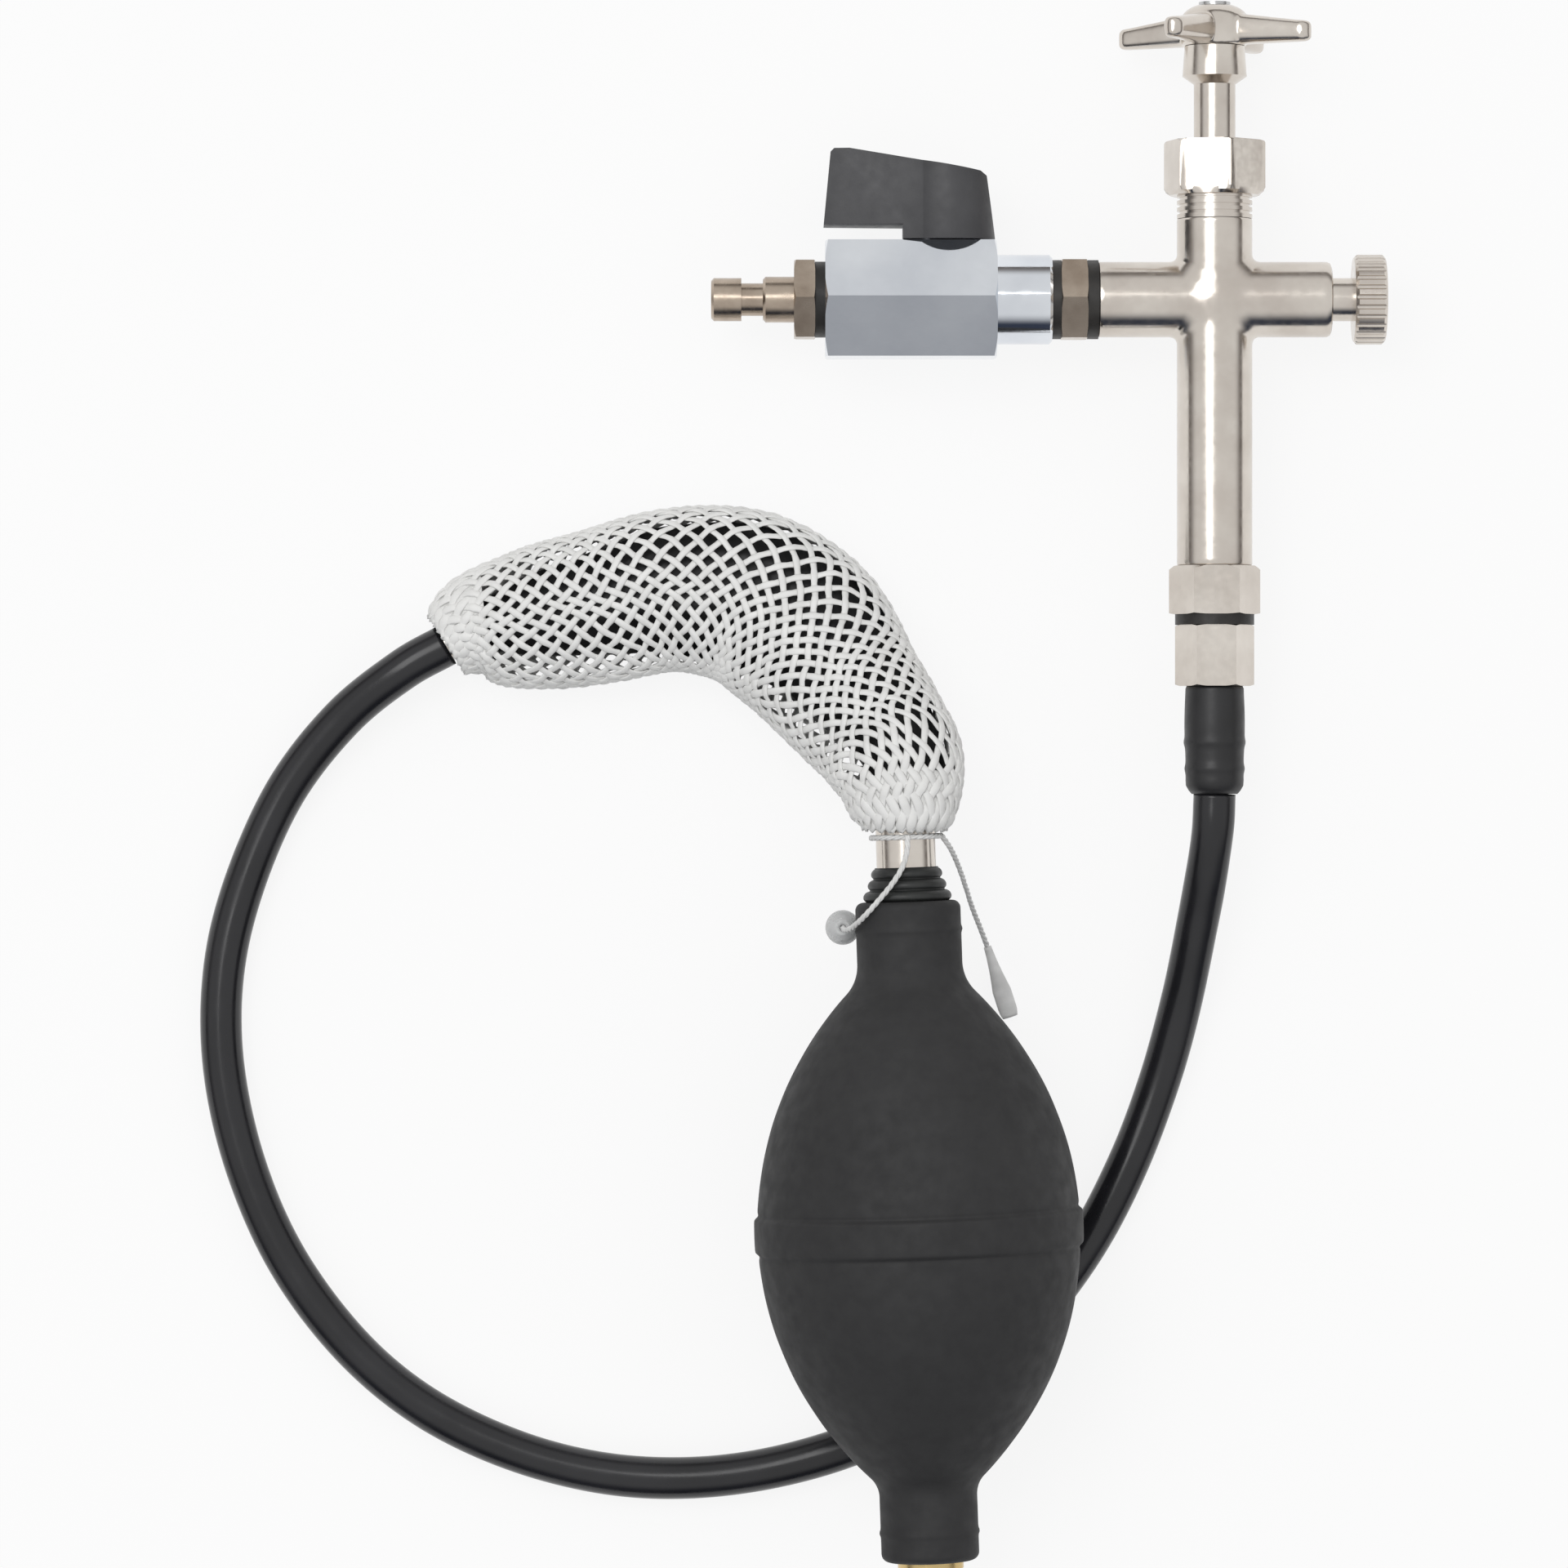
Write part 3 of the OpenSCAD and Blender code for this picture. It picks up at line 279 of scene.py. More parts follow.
def make_materials():
    """Every finish of the pump, by the record's slot name."""
    grey = lambda v, warm=0.0: (v * (1 + warm), v, v * (1 - warm))
    return {
        "nickel": surface("nickel", (0.60, 0.545, 0.49), (0.74, 0.69, 0.63), (0.14, 0.24),
                          metal=1.0, grain=90, spots=700, bump=0.004, bump_scale=2500),
        "nickel_dark": surface("nickel_dark", (0.36, 0.29, 0.23), (0.52, 0.44, 0.36), (0.16, 0.28),
                               metal=1.0, grain=160, spots=700, bump=0.006, bump_scale=2500),
        "chrome": surface("chrome", (0.68, 0.71, 0.76), (0.80, 0.83, 0.87), (0.06, 0.13),
                          metal=1.0, grain=70, spots=500, bump=0.004, bump_scale=1200),
        "steel": surface("steel", grey(0.48), grey(0.62), (0.2, 0.34), metal=1.0, grain=200,
                         spots=900, bump=0.004),
        "brass": surface("brass", (0.55, 0.40, 0.17), (0.72, 0.55, 0.27), (0.2, 0.34), metal=1.0,
                         grain=200, spots=800, bump=0.005),
        "ptfe": surface("ptfe", grey(0.80), grey(0.88), (0.45, 0.55), grain=300),
        "bulb_rubber": surface("bulb_rubber", (0.021, 0.021, 0.022), (0.028, 0.028, 0.029),
                               (0.62, 0.78), grain=35, spots=300, bump=0.03, bump_scale=1800),
        "black_rubber": surface("black_rubber", (0.012, 0.013, 0.013), (0.024, 0.026, 0.025),
                                (0.38, 0.55), grain=180, spots=500, bump=0.03, bump_scale=1500),
        "bladder_rubber": surface("bladder_rubber", (0.006, 0.006, 0.007), (0.016, 0.016, 0.017),
                                  (0.42, 0.62), grain=120, spots=400, bump=0.04, bump_scale=900),
        "hose_rubber": surface("hose_rubber", (0.010, 0.010, 0.012), (0.017, 0.017, 0.020),
                               (0.17, 0.26), grain=60, spots=220, bump=0.010, bump_scale=1400),
        "cuff_rubber": surface("cuff_rubber", (0.012, 0.012, 0.013), (0.020, 0.020, 0.022),
                               (0.36, 0.5), grain=120, spots=400, bump=0.02, bump_scale=1400),
        "seal_rubber": surface("seal_rubber", (0.012, 0.011, 0.010), (0.028, 0.025, 0.022),
                               (0.4, 0.55), grain=300, spots=500, bump=0.02),
        "white_net": surface("white_net", (0.80, 0.80, 0.785), (0.90, 0.90, 0.885), (0.5, 0.7),
                             grain=260, spots=900, bump=0.05, bump_scale=2600),
        "white_string": surface("white_string", (0.72, 0.72, 0.71), (0.84, 0.84, 0.83),
                                (0.45, 0.6), grain=300, spots=900, bump=0.03, bump_scale=3000),
        "clear_bead": surface("clear_bead", (0.78, 0.79, 0.79), (0.88, 0.89, 0.89), (0.18, 0.3),
                              grain=150, bump=0.01, Transmission_Weight=0.35, IOR=1.45),
        "lever_plastic": surface("lever_plastic", (0.050, 0.050, 0.054), (0.068, 0.068, 0.073),
                                 (0.42, 0.55), grain=140, spots=500, bump=0.03, bump_scale=2200),
    }


# ---- Camera, light and floor ----

def make_camera():
    camera = link(bpy.data.objects.new("camera", bpy.data.cameras.new("camera")))
    camera.location = CAMERA_AT
    camera.data.sensor_width = 36
    camera.data.lens = CAMERA_LENS
    camera.data.clip_end = 20
    bpy.context.scene.camera = camera


def seen_directly(nodes, links):
    """1 for rays from the camera, a reflection or through glass, else 0."""
    rays = nodes.new("ShaderNodeLightPath")
    total = rays.outputs["Is Camera Ray"]
    for name in ("Is Glossy Ray", "Is Transmission Ray"):
        add = nodes.new("ShaderNodeMath")
        add.operation = "MAXIMUM"
        links.new(total, add.inputs[0])
        links.new(rays.outputs[name], add.inputs[1])
        total = add.outputs["Value"]
    return total


def make_floor():
    h = FLOOR_HALF
    floor = mesh_piece("floor", [(-h, -h, 0), (h, -h, 0), (h, h, 0), (-h, h, 0)], [(0, 1, 2, 3)],
                       smooth=False)
    mat = bpy.data.materials.new("floor_paper")
    mat.use_nodes = True
    nodes, links = mat.node_tree.nodes, mat.node_tree.links
    shader = nodes["Principled BSDF"]
    shader.inputs["Base Color"].default_value = (0.9, 0.9, 0.9, 1)
    shader.inputs["Roughness"].default_value = 0.9
    shader.inputs["Specular IOR Level"].default_value = 0.1
    glow = nodes.new("ShaderNodeEmission")
    share = nodes.new("ShaderNodeMath")
    share.operation = "MULTIPLY"
    share.inputs[1].default_value = FLOOR_GLOW
    links.new(seen_directly(nodes, links), share.inputs[0])
    mix = nodes.new("ShaderNodeMixShader")
    links.new(share.outputs["Value"], mix.inputs["Fac"])
    links.new(shader.outputs["BSDF"], mix.inputs[1])
    links.new(glow.outputs["Emission"], mix.inputs[2])
    links.new(mix.outputs["Shader"], nodes["Material Output"].inputs["Surface"])
    floor.data.materials.append(mat)


def make_world():
    """White overhead, dimmer and warmer near the horizon; plain white behind the pump."""
    world = bpy.data.worlds.new("studio")
    bpy.context.scene.world = world
    world.use_nodes = True
    nodes, links = world.node_tree.nodes, world.node_tree.links
    nodes.clear()
    coord = nodes.new("ShaderNodeTexCoord")
    split = nodes.new("ShaderNodeSeparateXYZ")
    links.new(coord.outputs["Generated"], split.inputs["Vector"])

    def ramp(socket, low, high):
        node = nodes.new("ShaderNodeMapRange")
        node.interpolation_type = "SMOOTHSTEP"
        node.inputs["From Min"].default_value, node.inputs["From Max"].default_value = low, high
        links.new(split.outputs[socket], node.inputs["Value"])
        return node.outputs["Result"]

    def blend(fac, a, b):
        node = nodes.new("ShaderNodeMix")
        node.data_type = "RGBA"
        links.new(fac, node.inputs["Factor"])
        for socket, colour in ((6, a), (7, b)):
            if isinstance(colour, tuple):
                node.inputs[socket].default_value = (*colour, 1)
            else:
                links.new(colour, node.inputs[socket])
        return node.outputs[2]

    horizon = blend(ramp("Y", -0.7, 0.1), (0.05, 0.06, 0.09), (0.22, 0.20, 0.19))
    white = (1.0, 1.0, 1.0)
    front = blend(ramp("Z", 0.30, 0.80), horizon, white)
    round_about = blend(ramp("Z", 0.08, 0.50), horizon, white)
    sky = blend(ramp("Y", -0.75, -0.2), front, round_about)
    lit = nodes.new("ShaderNodeBackground")
    lit.inputs["Strength"].default_value = SKY_STRENGTH
    links.new(sky, lit.inputs["Color"])
    plain = nodes.new("ShaderNodeBackground")
    plain.inputs["Color"].default_value = (1, 1, 1, 1)
    rays = nodes.new("ShaderNodeLightPath")
    mix = nodes.new("ShaderNodeMixShader")
    links.new(rays.outputs["Is Camera Ray"], mix.inputs["Fac"])
    links.new(lit.outputs["Background"], mix.inputs[1])
    links.new(plain.outputs["Background"], mix.inputs[2])
    out = nodes.new("ShaderNodeOutputWorld")
    links.new(mix.outputs["Shader"], out.inputs["Surface"])


def make_lamp():
    lamp = link(bpy.data.objects.new("soft_box", bpy.data.lights.new("soft_box", "AREA")))
    lamp.data.shape = "SQUARE"
    lamp.data.size = LAMP_SIDE
    lamp.data.energy = LAMP_POWER
    lamp.location = LAMP_AT
    lamp.rotation_euler = (Vector((0, 0, 0)) - lamp.location).to_track_quat("-Z", "Y").to_euler()
    lamp.visible_camera = False


# ---- Cords ----

BAG_END = np.array((-85.3, 26.4, 9.2))
HOSE_TURN = math.radians(210)
TAIL_DIR = np.array((math.cos(HOSE_TURN), math.sin(HOSE_TURN), 0))
HOSE_R = 4.0


def hose_points():
    drop = [(60.9, -2.0, 0), (60.6, -8.6, -0.3), (59.6, -16.6, -2.5), (58, -26.6, -6.5),
            (55.2, -41.6, -11.5), (51.2, -56.6, -13.6)]
    ground = [(45.2, -72.6, 0), (37.2, -88.1, 0), (27.2, -101.6, 0), (14.2, -114.1, 0),
              (-1.8, -124.1, 0), (-18.8, -130.1, 0), (-36.8, -132.9, 0), (-54.8, -132.2, 0),
              (-72.8, -127.6, 0), (-89.8, -119.3, 0), (-103.8, -107.6, 0), (-115.8, -91.6, 0),
              (-123.8, -73.6, 0), (-128.1, -54.6, 0), (-128.2, -36.6, 0), (-124.3, -19.6, 0),
              (-116.3, -1.6, 0.6), (-105.3, 12.4, 2.6), (-93.8, 21.6, 5)]
    return ([(x, y, z + RIG.z) for x, y, z in drop]
            + [(x, y, z + HOSE_R) for x, y, z in ground] + [tuple(BAG_END)])


FRONT_STRING = [(2.3, -9.7, 37.9), (2.2, -12.6, 38.4), (1.2, -15.9, 38.9), (-0.6, -18.8, 39.1),
                (-2.9, -21.6, 39.5), (-5.8, -24.9, 38.4), (-8, -27, 34.6), (-9.2, -27.6, 31),
                (-9.7, -27.2, 27.6)]
BACK_STRING = [(8.8, -9.7, 30.6), (10.8, -12.6, 26.5), (12.8, -17.1, 20), (15, -23.4, 11.8),
               (16.8, -27.8, 6.6), (18.2, -31.3, 3)]
TAG = [(18.2, -31.3, 3), (22.6, -44.8, 1.9)]
STRING_R = 0.55


def twisted(path, radius, plies=3, lay=4.2):
    """Plies wound round a path, as points and faces."""
    along = np.concatenate([[0], np.cumsum(np.linalg.norm(np.diff(path, axis=0), axis=1))])
    a, b = side_frames(path)
    parts = []
    for ply in range(plies):
        turn = 2 * math.pi * (along / lay + ply / plies)
        off = radius * 0.47
        line = path + off * (np.cos(turn)[:, None] * a + np.sin(turn)[:, None] * b)
        parts.append(tube_mesh(line, radius * 0.53, sides=8))
    return join_parts(parts)


def make_cords(mats):
    path = catmull(hose_points(), 10)
    along = np.linspace(0, 60, len(path))
    out_of_round = 1 + 0.006 * np.sin(along * 1.3)
    hose = mesh_piece("hose_tube", *tube_mesh(path, HOSE_R * out_of_round, HOSE_R / out_of_round,
                                              sides=40))
    hose.data.materials.append(mats["hose_rubber"])
    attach(hose, "frame")
    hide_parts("hose")
    bead = make_bead(mats)
    tag = make_tag(mats)
    for name, route, node, ends in (("string_front", FRONT_STRING, "drawstring_front", bead),
                                    ("string_back", BACK_STRING, "drawstring_back", tag)):
        path = catmull(route, 10)
        string = mesh_piece(name, *twisted(path, STRING_R))
        string.data.materials.append(mats["white_string"])
        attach(string, "frame")
        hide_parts(node)


def make_bead(mats):
    """A milky ball with a small hole, and the knot that the string ends in under it."""
    r, hole = 3.3, 0.62
    top = Vector(FRONT_STRING[-1])
    arc = [(r * math.cos(a), r * math.sin(a))
           for a in (math.asin(0.93) * (1 - 2 * k / 24) for k in range(25))]
    outline = [(hole, r * 0.86)] + arc + [(hole, -r * 0.86)]
    parts = [lathe_mesh(outline, top - Vector((0, 0, r)), (0, 0, 1), 48)]
    knot = [(0, 1.1), (0.8, 0.8), (1.15, 0), (0.8, -0.8), (0, -1.1)]
    parts.append(lathe_mesh(knot, top - Vector((0, 0, 2 * r - 0.6)), (0.3, 0.1, 1), 16))
    bead = mesh_piece("string_bead", *join_parts(parts))
    bead.data.materials.append(mats["clear_bead"])
    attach(bead, "frame")
    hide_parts("drawstring_bead")
    return bead


def make_tag(mats):
    """The sealed tip: a soft sleeve pressed flat, wider towards its end."""
    path = catmull(TAG, 24)
    t = np.linspace(0, 1, len(path))
    wide = 0.75 + 1.05 * np.clip(t * 1.6, 0, 1) ** 1.5 - 0.35 * np.clip((t - 0.86) / 0.14, 0, 1) ** 2
    high = 0.72 - 0.1 * t + 0.06 * np.sin(t * 40)
    tag = mesh_piece("string_tag", *tube_mesh(path, wide, high, sides=20))
    tag.data.materials.append(mats["white_string"])
    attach(tag, "frame")
    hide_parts("drawstring_tag")
    return tag


# ---- Squeeze bulb, bushing and cuff ----

def bulb_side(end, neck_r, fillet):
    """The CAD's outline from the equator to a neck's end, with finer steps."""
    arc_r, edge = BULB_ARC_R, 1.5
    low = BULB_R - arc_r
    rise = neck_r + fillet - low
    mid = math.sqrt((arc_r + fillet) ** 2 - rise * rise)
    lean = math.atan2(mid, rise)
    side = [(low + arc_r * math.cos(lean * i / 48), arc_r * math.sin(lean * i / 48))
            for i in range(49)]
    side += [(neck_r + fillet - fillet * math.cos(lean * (1 - i / 16)),
              mid - fillet * math.sin(lean * (1 - i / 16))) for i in range(1, 17)]
    side += [(neck_r + 0.25 * math.exp(-((s - end + 5.4) / 0.5) ** 2), s)
             for s in np.linspace(mid + 0.5, end - edge - 0.3, 24)]
    side += [(neck_r - edge + edge * math.cos(math.pi / 2 * i / 8),
              end - edge + edge * math.sin(math.pi / 2 * i / 8)) for i in range(9)]
    return side


def band_rise(s):
    """The moulded band round the equator: raised, with a soft groove along both edges."""
    edge = abs(s) - 3.4
    return 0.6 / (1 + math.exp(edge * 6)) - 0.16 * math.exp(-((edge - 0.5) / 0.45) ** 2)


def make_bulb(mats):
    low = BULB_R - BULB_ARC_R
    up = bulb_side(NECK_END, 9.9, 8)
    down = [(r, -s) for r, s in bulb_side(NECK_END, 9.2, 5)][:0:-1]
    outer = down + up
    fine = []
    for (r0, s0), (r1, s1) in zip(outer, outer[1:]):
        parts = 6 if abs(s0) < 8 and abs(s1) < 8 else 1
        fine += [(r0 + (r1 - r0) * k / parts, s0 + (s1 - s0) * k / parts) for k in range(parts)]
    fine.append(outer[-1])
    outer = [(r + band_rise(s) if abs(s) < 8 else r, s) for r, s in fine]
    inner_r = BULB_ARC_R - BULB_WALL
    inside = [(low + inner_r * math.cos(a), inner_r * math.sin(a))
              for a in np.linspace(-math.acos((6.25 - low) / inner_r),
                                   math.acos((7.05 - low) / inner_r), 40)]
    outline = outer + [(7.05, NECK_END)] + inside[::-1] + [(6.25, -NECK_END)]
    points, faces = lathe_mesh(outline, BULB, BULB_AXIS, 144)
    soft = []
    for p in points:
        p = Vector(p)
        d = p - BULB
        s = d.dot(BULB_AXIS)
        out = d - BULB_AXIS * s
        fade = max(0.0, 1 - (abs(s) / 52) ** 6)
        uneven = 0.16 * noise.noise(p / 22) + 0.05 * noise.noise(p / 6)
        seam = 0.10 * math.exp(-(out.normalized().dot(Vector((0, 0, 1))) * 40) ** 2)
        seam *= 1 if abs(s) < 56 else 0
        soft.append(p + out.normalized() * (uneven * fade - 0.12 * fade + seam * fade))
    bulb = mesh_piece("bulb_shell", soft, faces)
    bulb.data.materials.append(mats["bulb_rubber"])
    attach(bulb, "frame")
    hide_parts("squeeze_bulb")


def make_bushing(mats):
    """Three rounded ribs, each smaller than the one below."""
    hole, low, end = 5.65, 50.0, 68.4
    outline = [(hole, low), (7.0, low), (7.0, 61.9)]
    step = (end - 62) / 3
    for i, r in enumerate((8.3, 7.4, 6.7)):
        at = 62 + i * step
        outline += [(r - 0.5, at), (r, at + 0.25 * step), (r, at + 0.55 * step),
                    (r - 0.35, at + 0.8 * step), (r - 0.75, at + 0.92 * step)]
    outline += [(6.0, end), (hole, end)]
    bushing = mesh_piece("bushing_ribs", *lathe_mesh(rounded(outline, 0.3), BULB, BULB_AXIS, 96))
    bushing.data.materials.append(mats["black_rubber"])
    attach(bushing, "frame")
    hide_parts("outlet_bushing")


def make_cuff(mats):
    """The hose end stretched over the barb, with a bump over each ridge."""
    top, low = -73.3, -93.8
    side = []
    for s in np.linspace(top - 0.5, low + 2.6, 60):
        bump = sum(0.22 * math.exp(-((s + b) / 0.8) ** 2) for b in (84, 89))
        side.append((5.62 + bump - 0.12 * math.sin((s + 76) * 0.35), s))
    outline = ([(4.05, top), (5.3, top)] + side
               + [(5.45, low + 1.6), (4.95, low + 0.7), (4.35, low), (2.5, low), (2.5, low + 2.4),
                  (4.05, low + 2.4)])
    cuff = mesh_piece("cuff_sleeve", *lathe_mesh(outline, RIG, (0, 1, 0), 96))
    cuff.data.materials.append(mats["cuff_rubber"])
    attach(cuff, "frame")
    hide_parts("hose_cuff")


# ---- Bladder and net bag ----

def along_bulb(s):
    return tuple(BULB + BULB_AXIS * s)


MOUTH = 74.8
BAG_ROUTE = [along_bulb(MOUTH + 0.6), along_bulb(MOUTH + 5), (0.6, 3.4, 28.5), (-2.8, 9.4, 23.5),
             (-8.8, 17.4, 17.5), (-16.8, 27.9, 12.8), (-27.8, 35.4, 10.6), (-41.8, 36.9, 10.2),
             (-55.8, 33.9, 10), (-68.8, 31.4, 9.8), tuple(BAG_END - 7 * TAIL_DIR), tuple(BAG_END)]
BAG_HALF_W = [7.9, 10.6, 12.8, 13.6, 15.2, 17.2, 17, 15.8, 15, 13.8, 10.8, 6.6]
BAG_HALF_H = [7.7, 9.4, 10.6, 11.4, 12.4, 12.2, 10.5, 10.2, 10, 9.7, 8.2, 6.4]


class Bag:
    """The bag's skin: a point for each distance along the bag and angle round it."""

    def __init__(self):
        self.path = catmull(BAG_ROUTE, 40)
        steps = np.linalg.norm(np.diff(self.path, axis=0), axis=1)
        self.along = np.concatenate([[0], np.cumsum(steps)])
        self.length = float(self.along[-1])
        self.w = catmull([(v, 0, 0) for v in BAG_HALF_W], 40)[:, 0]
        self.h = catmull([(v, 0, 0) for v in BAG_HALF_H], 40)[:, 0]
        d = headings(self.path)
        d[0], d[-1] = np.array(BULB_AXIS), TAIL_DIR
        side = np.cross(d, (0, 0, 1))
        self.side = side / np.linalg.norm(side, axis=1)[:, None]
        self.up = np.cross(self.side, d)

    def at(self, s, angle, lift=0.0, shrink_w=1.0, shrink_h=1.0, shift=0.0):
        """Points for arrays of distances (mm) and angles; lift raises them off the skin."""
        pick = lambda v: np.stack([np.interp(s, self.along, v[:, i]) for i in range(3)], -1)
        w = np.interp(s, self.along, self.w) * shrink_w + lift
        h = np.interp(s, self.along, self.h) * shrink_h + lift
        x = w * np.cos(angle) + shift * np.interp(s, self.along, self.w)
        y = h * np.sin(angle)
        return pick(self.path) + x[..., None] * pick(self.side) + y[..., None] * pick(self.up)


STRANDS = 24
CELL = 3.8


def wobble(s, angle, seed):
    """Small smooth unevenness of the net, by place."""
    return np.array([noise.noise(Vector((a / 9 + seed, 3.1 * math.cos(t), 3.1 * math.sin(t))))
                     for a, t in zip(s, angle)])


def strand(bag, start, way, first, last, depth, wide):
    """One strand of the net from one distance to another, as points and faces."""
    count = max(4, int((last - first) / 0.62))
    s = np.linspace(first, last, count)
    angle = 2 * math.pi * start / STRANDS + way * s * (2 * math.pi / STRANDS) / CELL
    weave = 0.26 * way * np.cos(2 * math.pi * s / CELL)
    angle = angle + 0.05 * np.sin(4 * (angle - math.pi / 2)) * -1.0
    angle = angle + 0.05 * wobble(s, angle, 2.0 + way)
    skin = bag.at(s, angle, -depth + weave + 0.25 * wobble(s, angle, 7.0))
    centre = bag.at(s, angle, -40.0)
    out = skin - centre
    out /= np.linalg.norm(out, axis=1)[:, None]
    d = headings(skin)
    flat = np.cross(d, out)
    flat /= np.linalg.norm(flat, axis=1)[:, None]
    out = np.cross(flat, d)
    # the knit lies thicker along the bag's sides and at both ends
    sides_share = np.clip(1 - np.abs(np.sin(angle)) / 0.75, 0, 1)
    ends_share = np.clip(1 - np.minimum(s, bag.length - s) / 14, 0, 1)
    w = wide * (1 + 0.10 * np.cos(4 * math.pi * s / CELL)) * (1 + 0.55 * sides_share
                                                             + 0.45 * ends_share)
    sides = 8
    points = []
    for i in range(count):
        for k in range(sides):
            t = 2 * math.pi * k / sides
            points.append(skin[i] + w[i] * math.cos(t) * flat[i] + 0.30 * math.sin(t) * out[i])
    faces = ring_faces(count, sides)
    faces.append(tuple(range(sides)))
    faces.append(tuple((count - 1) * sides + k for k in range(sides)))
    return points, faces


def make_net(bag, mats):
    parts = []
    for way in (-1, 1):
        for k in range(STRANDS):
            parts.append(strand(bag, k, way, 0.4, bag.length - 0.4, 0.55, 0.66))
    net = mesh_piece("net_strands", *join_parts(parts))
    net.data.materials.append(mats["white_net"])
    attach(net, "frame")
    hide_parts("net_bag")


def sleeve(bag, first, last, lift_outer, thick, rings=40, sides=72, ruffle=0.35):
    """A closed soft sleeve just inside the strands."""
    s = np.linspace(first, last, rings)
    points = []
    for layer in (0, 1):
        for i in range(rings):
            angle = np.linspace(0, 2 * math.pi, sides, endpoint=False)
            at = np.full(sides, s[i])
            crease = ruffle * wobble(at, angle, 11.0) + 0.12 * np.sin(angle * 24 + s[i] * 3.3)
            points.extend(bag.at(at, angle, lift_outer - layer * thick + crease))
    outer = ring_faces(rings, sides)
    inner = ring_faces(rings, sides, base=rings * sides)
    faces = outer + inner
    for end in (0, rings - 1):
        for k in range(sides):
            m = (k + 1) % sides
            faces.append((end * sides + k, end * sides + m,
                          (rings + end) * sides + m, (rings + end) * sides + k))
    return points, faces


def make_hems(bag, mats):
    """The net's gathered ends, where its edge is turned in and lies double."""
    for name, first, last in (("net_hem_mouth", 0.3, 8.5),
                              ("net_hem_tail", bag.length - 9.5, bag.length - 0.3)):
        hem = mesh_piece(name, *sleeve(bag, first, last, -0.75, 0.6))
        hem.data.materials.append(mats["white_net"])
        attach(hem, "frame")


# Along the bag: share of the net's width and height that the bladder fills, and its shift
BLADDER_AT = [0.0, 0.06, 0.12, 0.2, 0.34, 0.48, 0.62, 0.76, 0.86, 0.93, 1.0]
BLADDER_W = [0.84, 0.66, 0.60, 0.66, 0.76, 0.84, 0.80, 0.66, 0.56, 0.42, 0.5]
BLADDER_H = [0.84, 0.72, 0.74, 0.80, 0.82, 0.82, 0.82, 0.80, 0.76, 0.52, 0.5]
BLADDER_SHIFT = [0, 0.05, 0.14, 0.20, 0.12, 0.02, 0.0, 0.04, 0.04, 0.0, 0.0]


def make_bladder(bag, mats):
    """A thin rubber bag, half filled, with soft creases along it."""
    rings, sides = 170, 72
    s = np.linspace(1.5, bag.length - 2.0, rings)
    points = []
    for i in range(rings):
        t = s[i] / bag.length
        w = np.interp(t, BLADDER_AT, BLADDER_W)
        h = np.interp(t, BLADDER_AT, BLADDER_H)
        shift = np.interp(t, BLADDER_AT, BLADDER_SHIFT)
        angle = np.linspace(0, 2 * math.pi, sides, endpoint=False)
        at = np.full(sides, s[i])
        body = math.sin(math.pi * min(1.0, max(0.0, (t - 0.03) / 0.92)))
        crease = body * (0.5 * wobble(at, angle * 2, 21.0) - 0.35
                         + 0.22 * np.sin(angle * 9 + 2.2 * math.sin(s[i] / 17)))
        points.extend(bag.at(at, angle, crease, w, h, shift))
    faces = ring_faces(rings, sides)
    faces.append(tuple(range(sides)))
    faces.append(tuple((rings - 1) * sides + k for k in range(sides)))
    bladder = mesh_piece("bladder_skin", points, faces)
    bladder.data.materials.append(mats["bladder_rubber"])
    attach(bladder, "frame")
    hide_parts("bladder")


def make_mouth_loop(mats):
    """The drawstring's turn round the bag's mouth."""
    centre = np.array(BULB + BULB_AXIS * (MOUTH - 0.7))
    a = np.array(BULB_AXIS.cross(Vector((0, 0, 1))))
    b = np.array((0, 0, 1.0))
    turn = np.linspace(0.03, 2 * math.pi - 0.03, 90)
    path = centre + 6.4 * (np.cos(turn)[:, None] * a + np.sin(turn)[:, None] * b)
    loop = mesh_piece("string_loop", *twisted(path, STRING_R))
    loop.data.materials.append(mats["white_string"])
    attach(loop, "frame")
    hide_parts("drawstring_loop")


# ---- Pipework ----

TUBE_R = 7.15


def cross_surface(p):
    """Moves points onto a cross of two round bars whose corners run together smoothly."""
    blend = 1.6
    for _ in range(8):
        x, y, z = p[:, 0], p[:, 1], p[:, 2]
        rx, ry = np.hypot(y, z), np.hypot(x, z)
        f1, f2 = rx - TUBE_R, ry - TUBE_R
        h = np.clip(0.5 + 0.5 * (f2 - f1) / blend, 0, 1)
        f = f2 * (1 - h) + f1 * h - blend * h * (1 - h)
        g1 = np.stack([0 * x, y / rx, z / rx], -1)
        g2 = np.stack([x / ry, 0 * y, z / ry], -1)
        g = g2 * (1 - h)[:, None] + g1 * h[:, None]
        p = p - (f / np.maximum((g * g).sum(1), 0.2))[:, None] * g
    return p


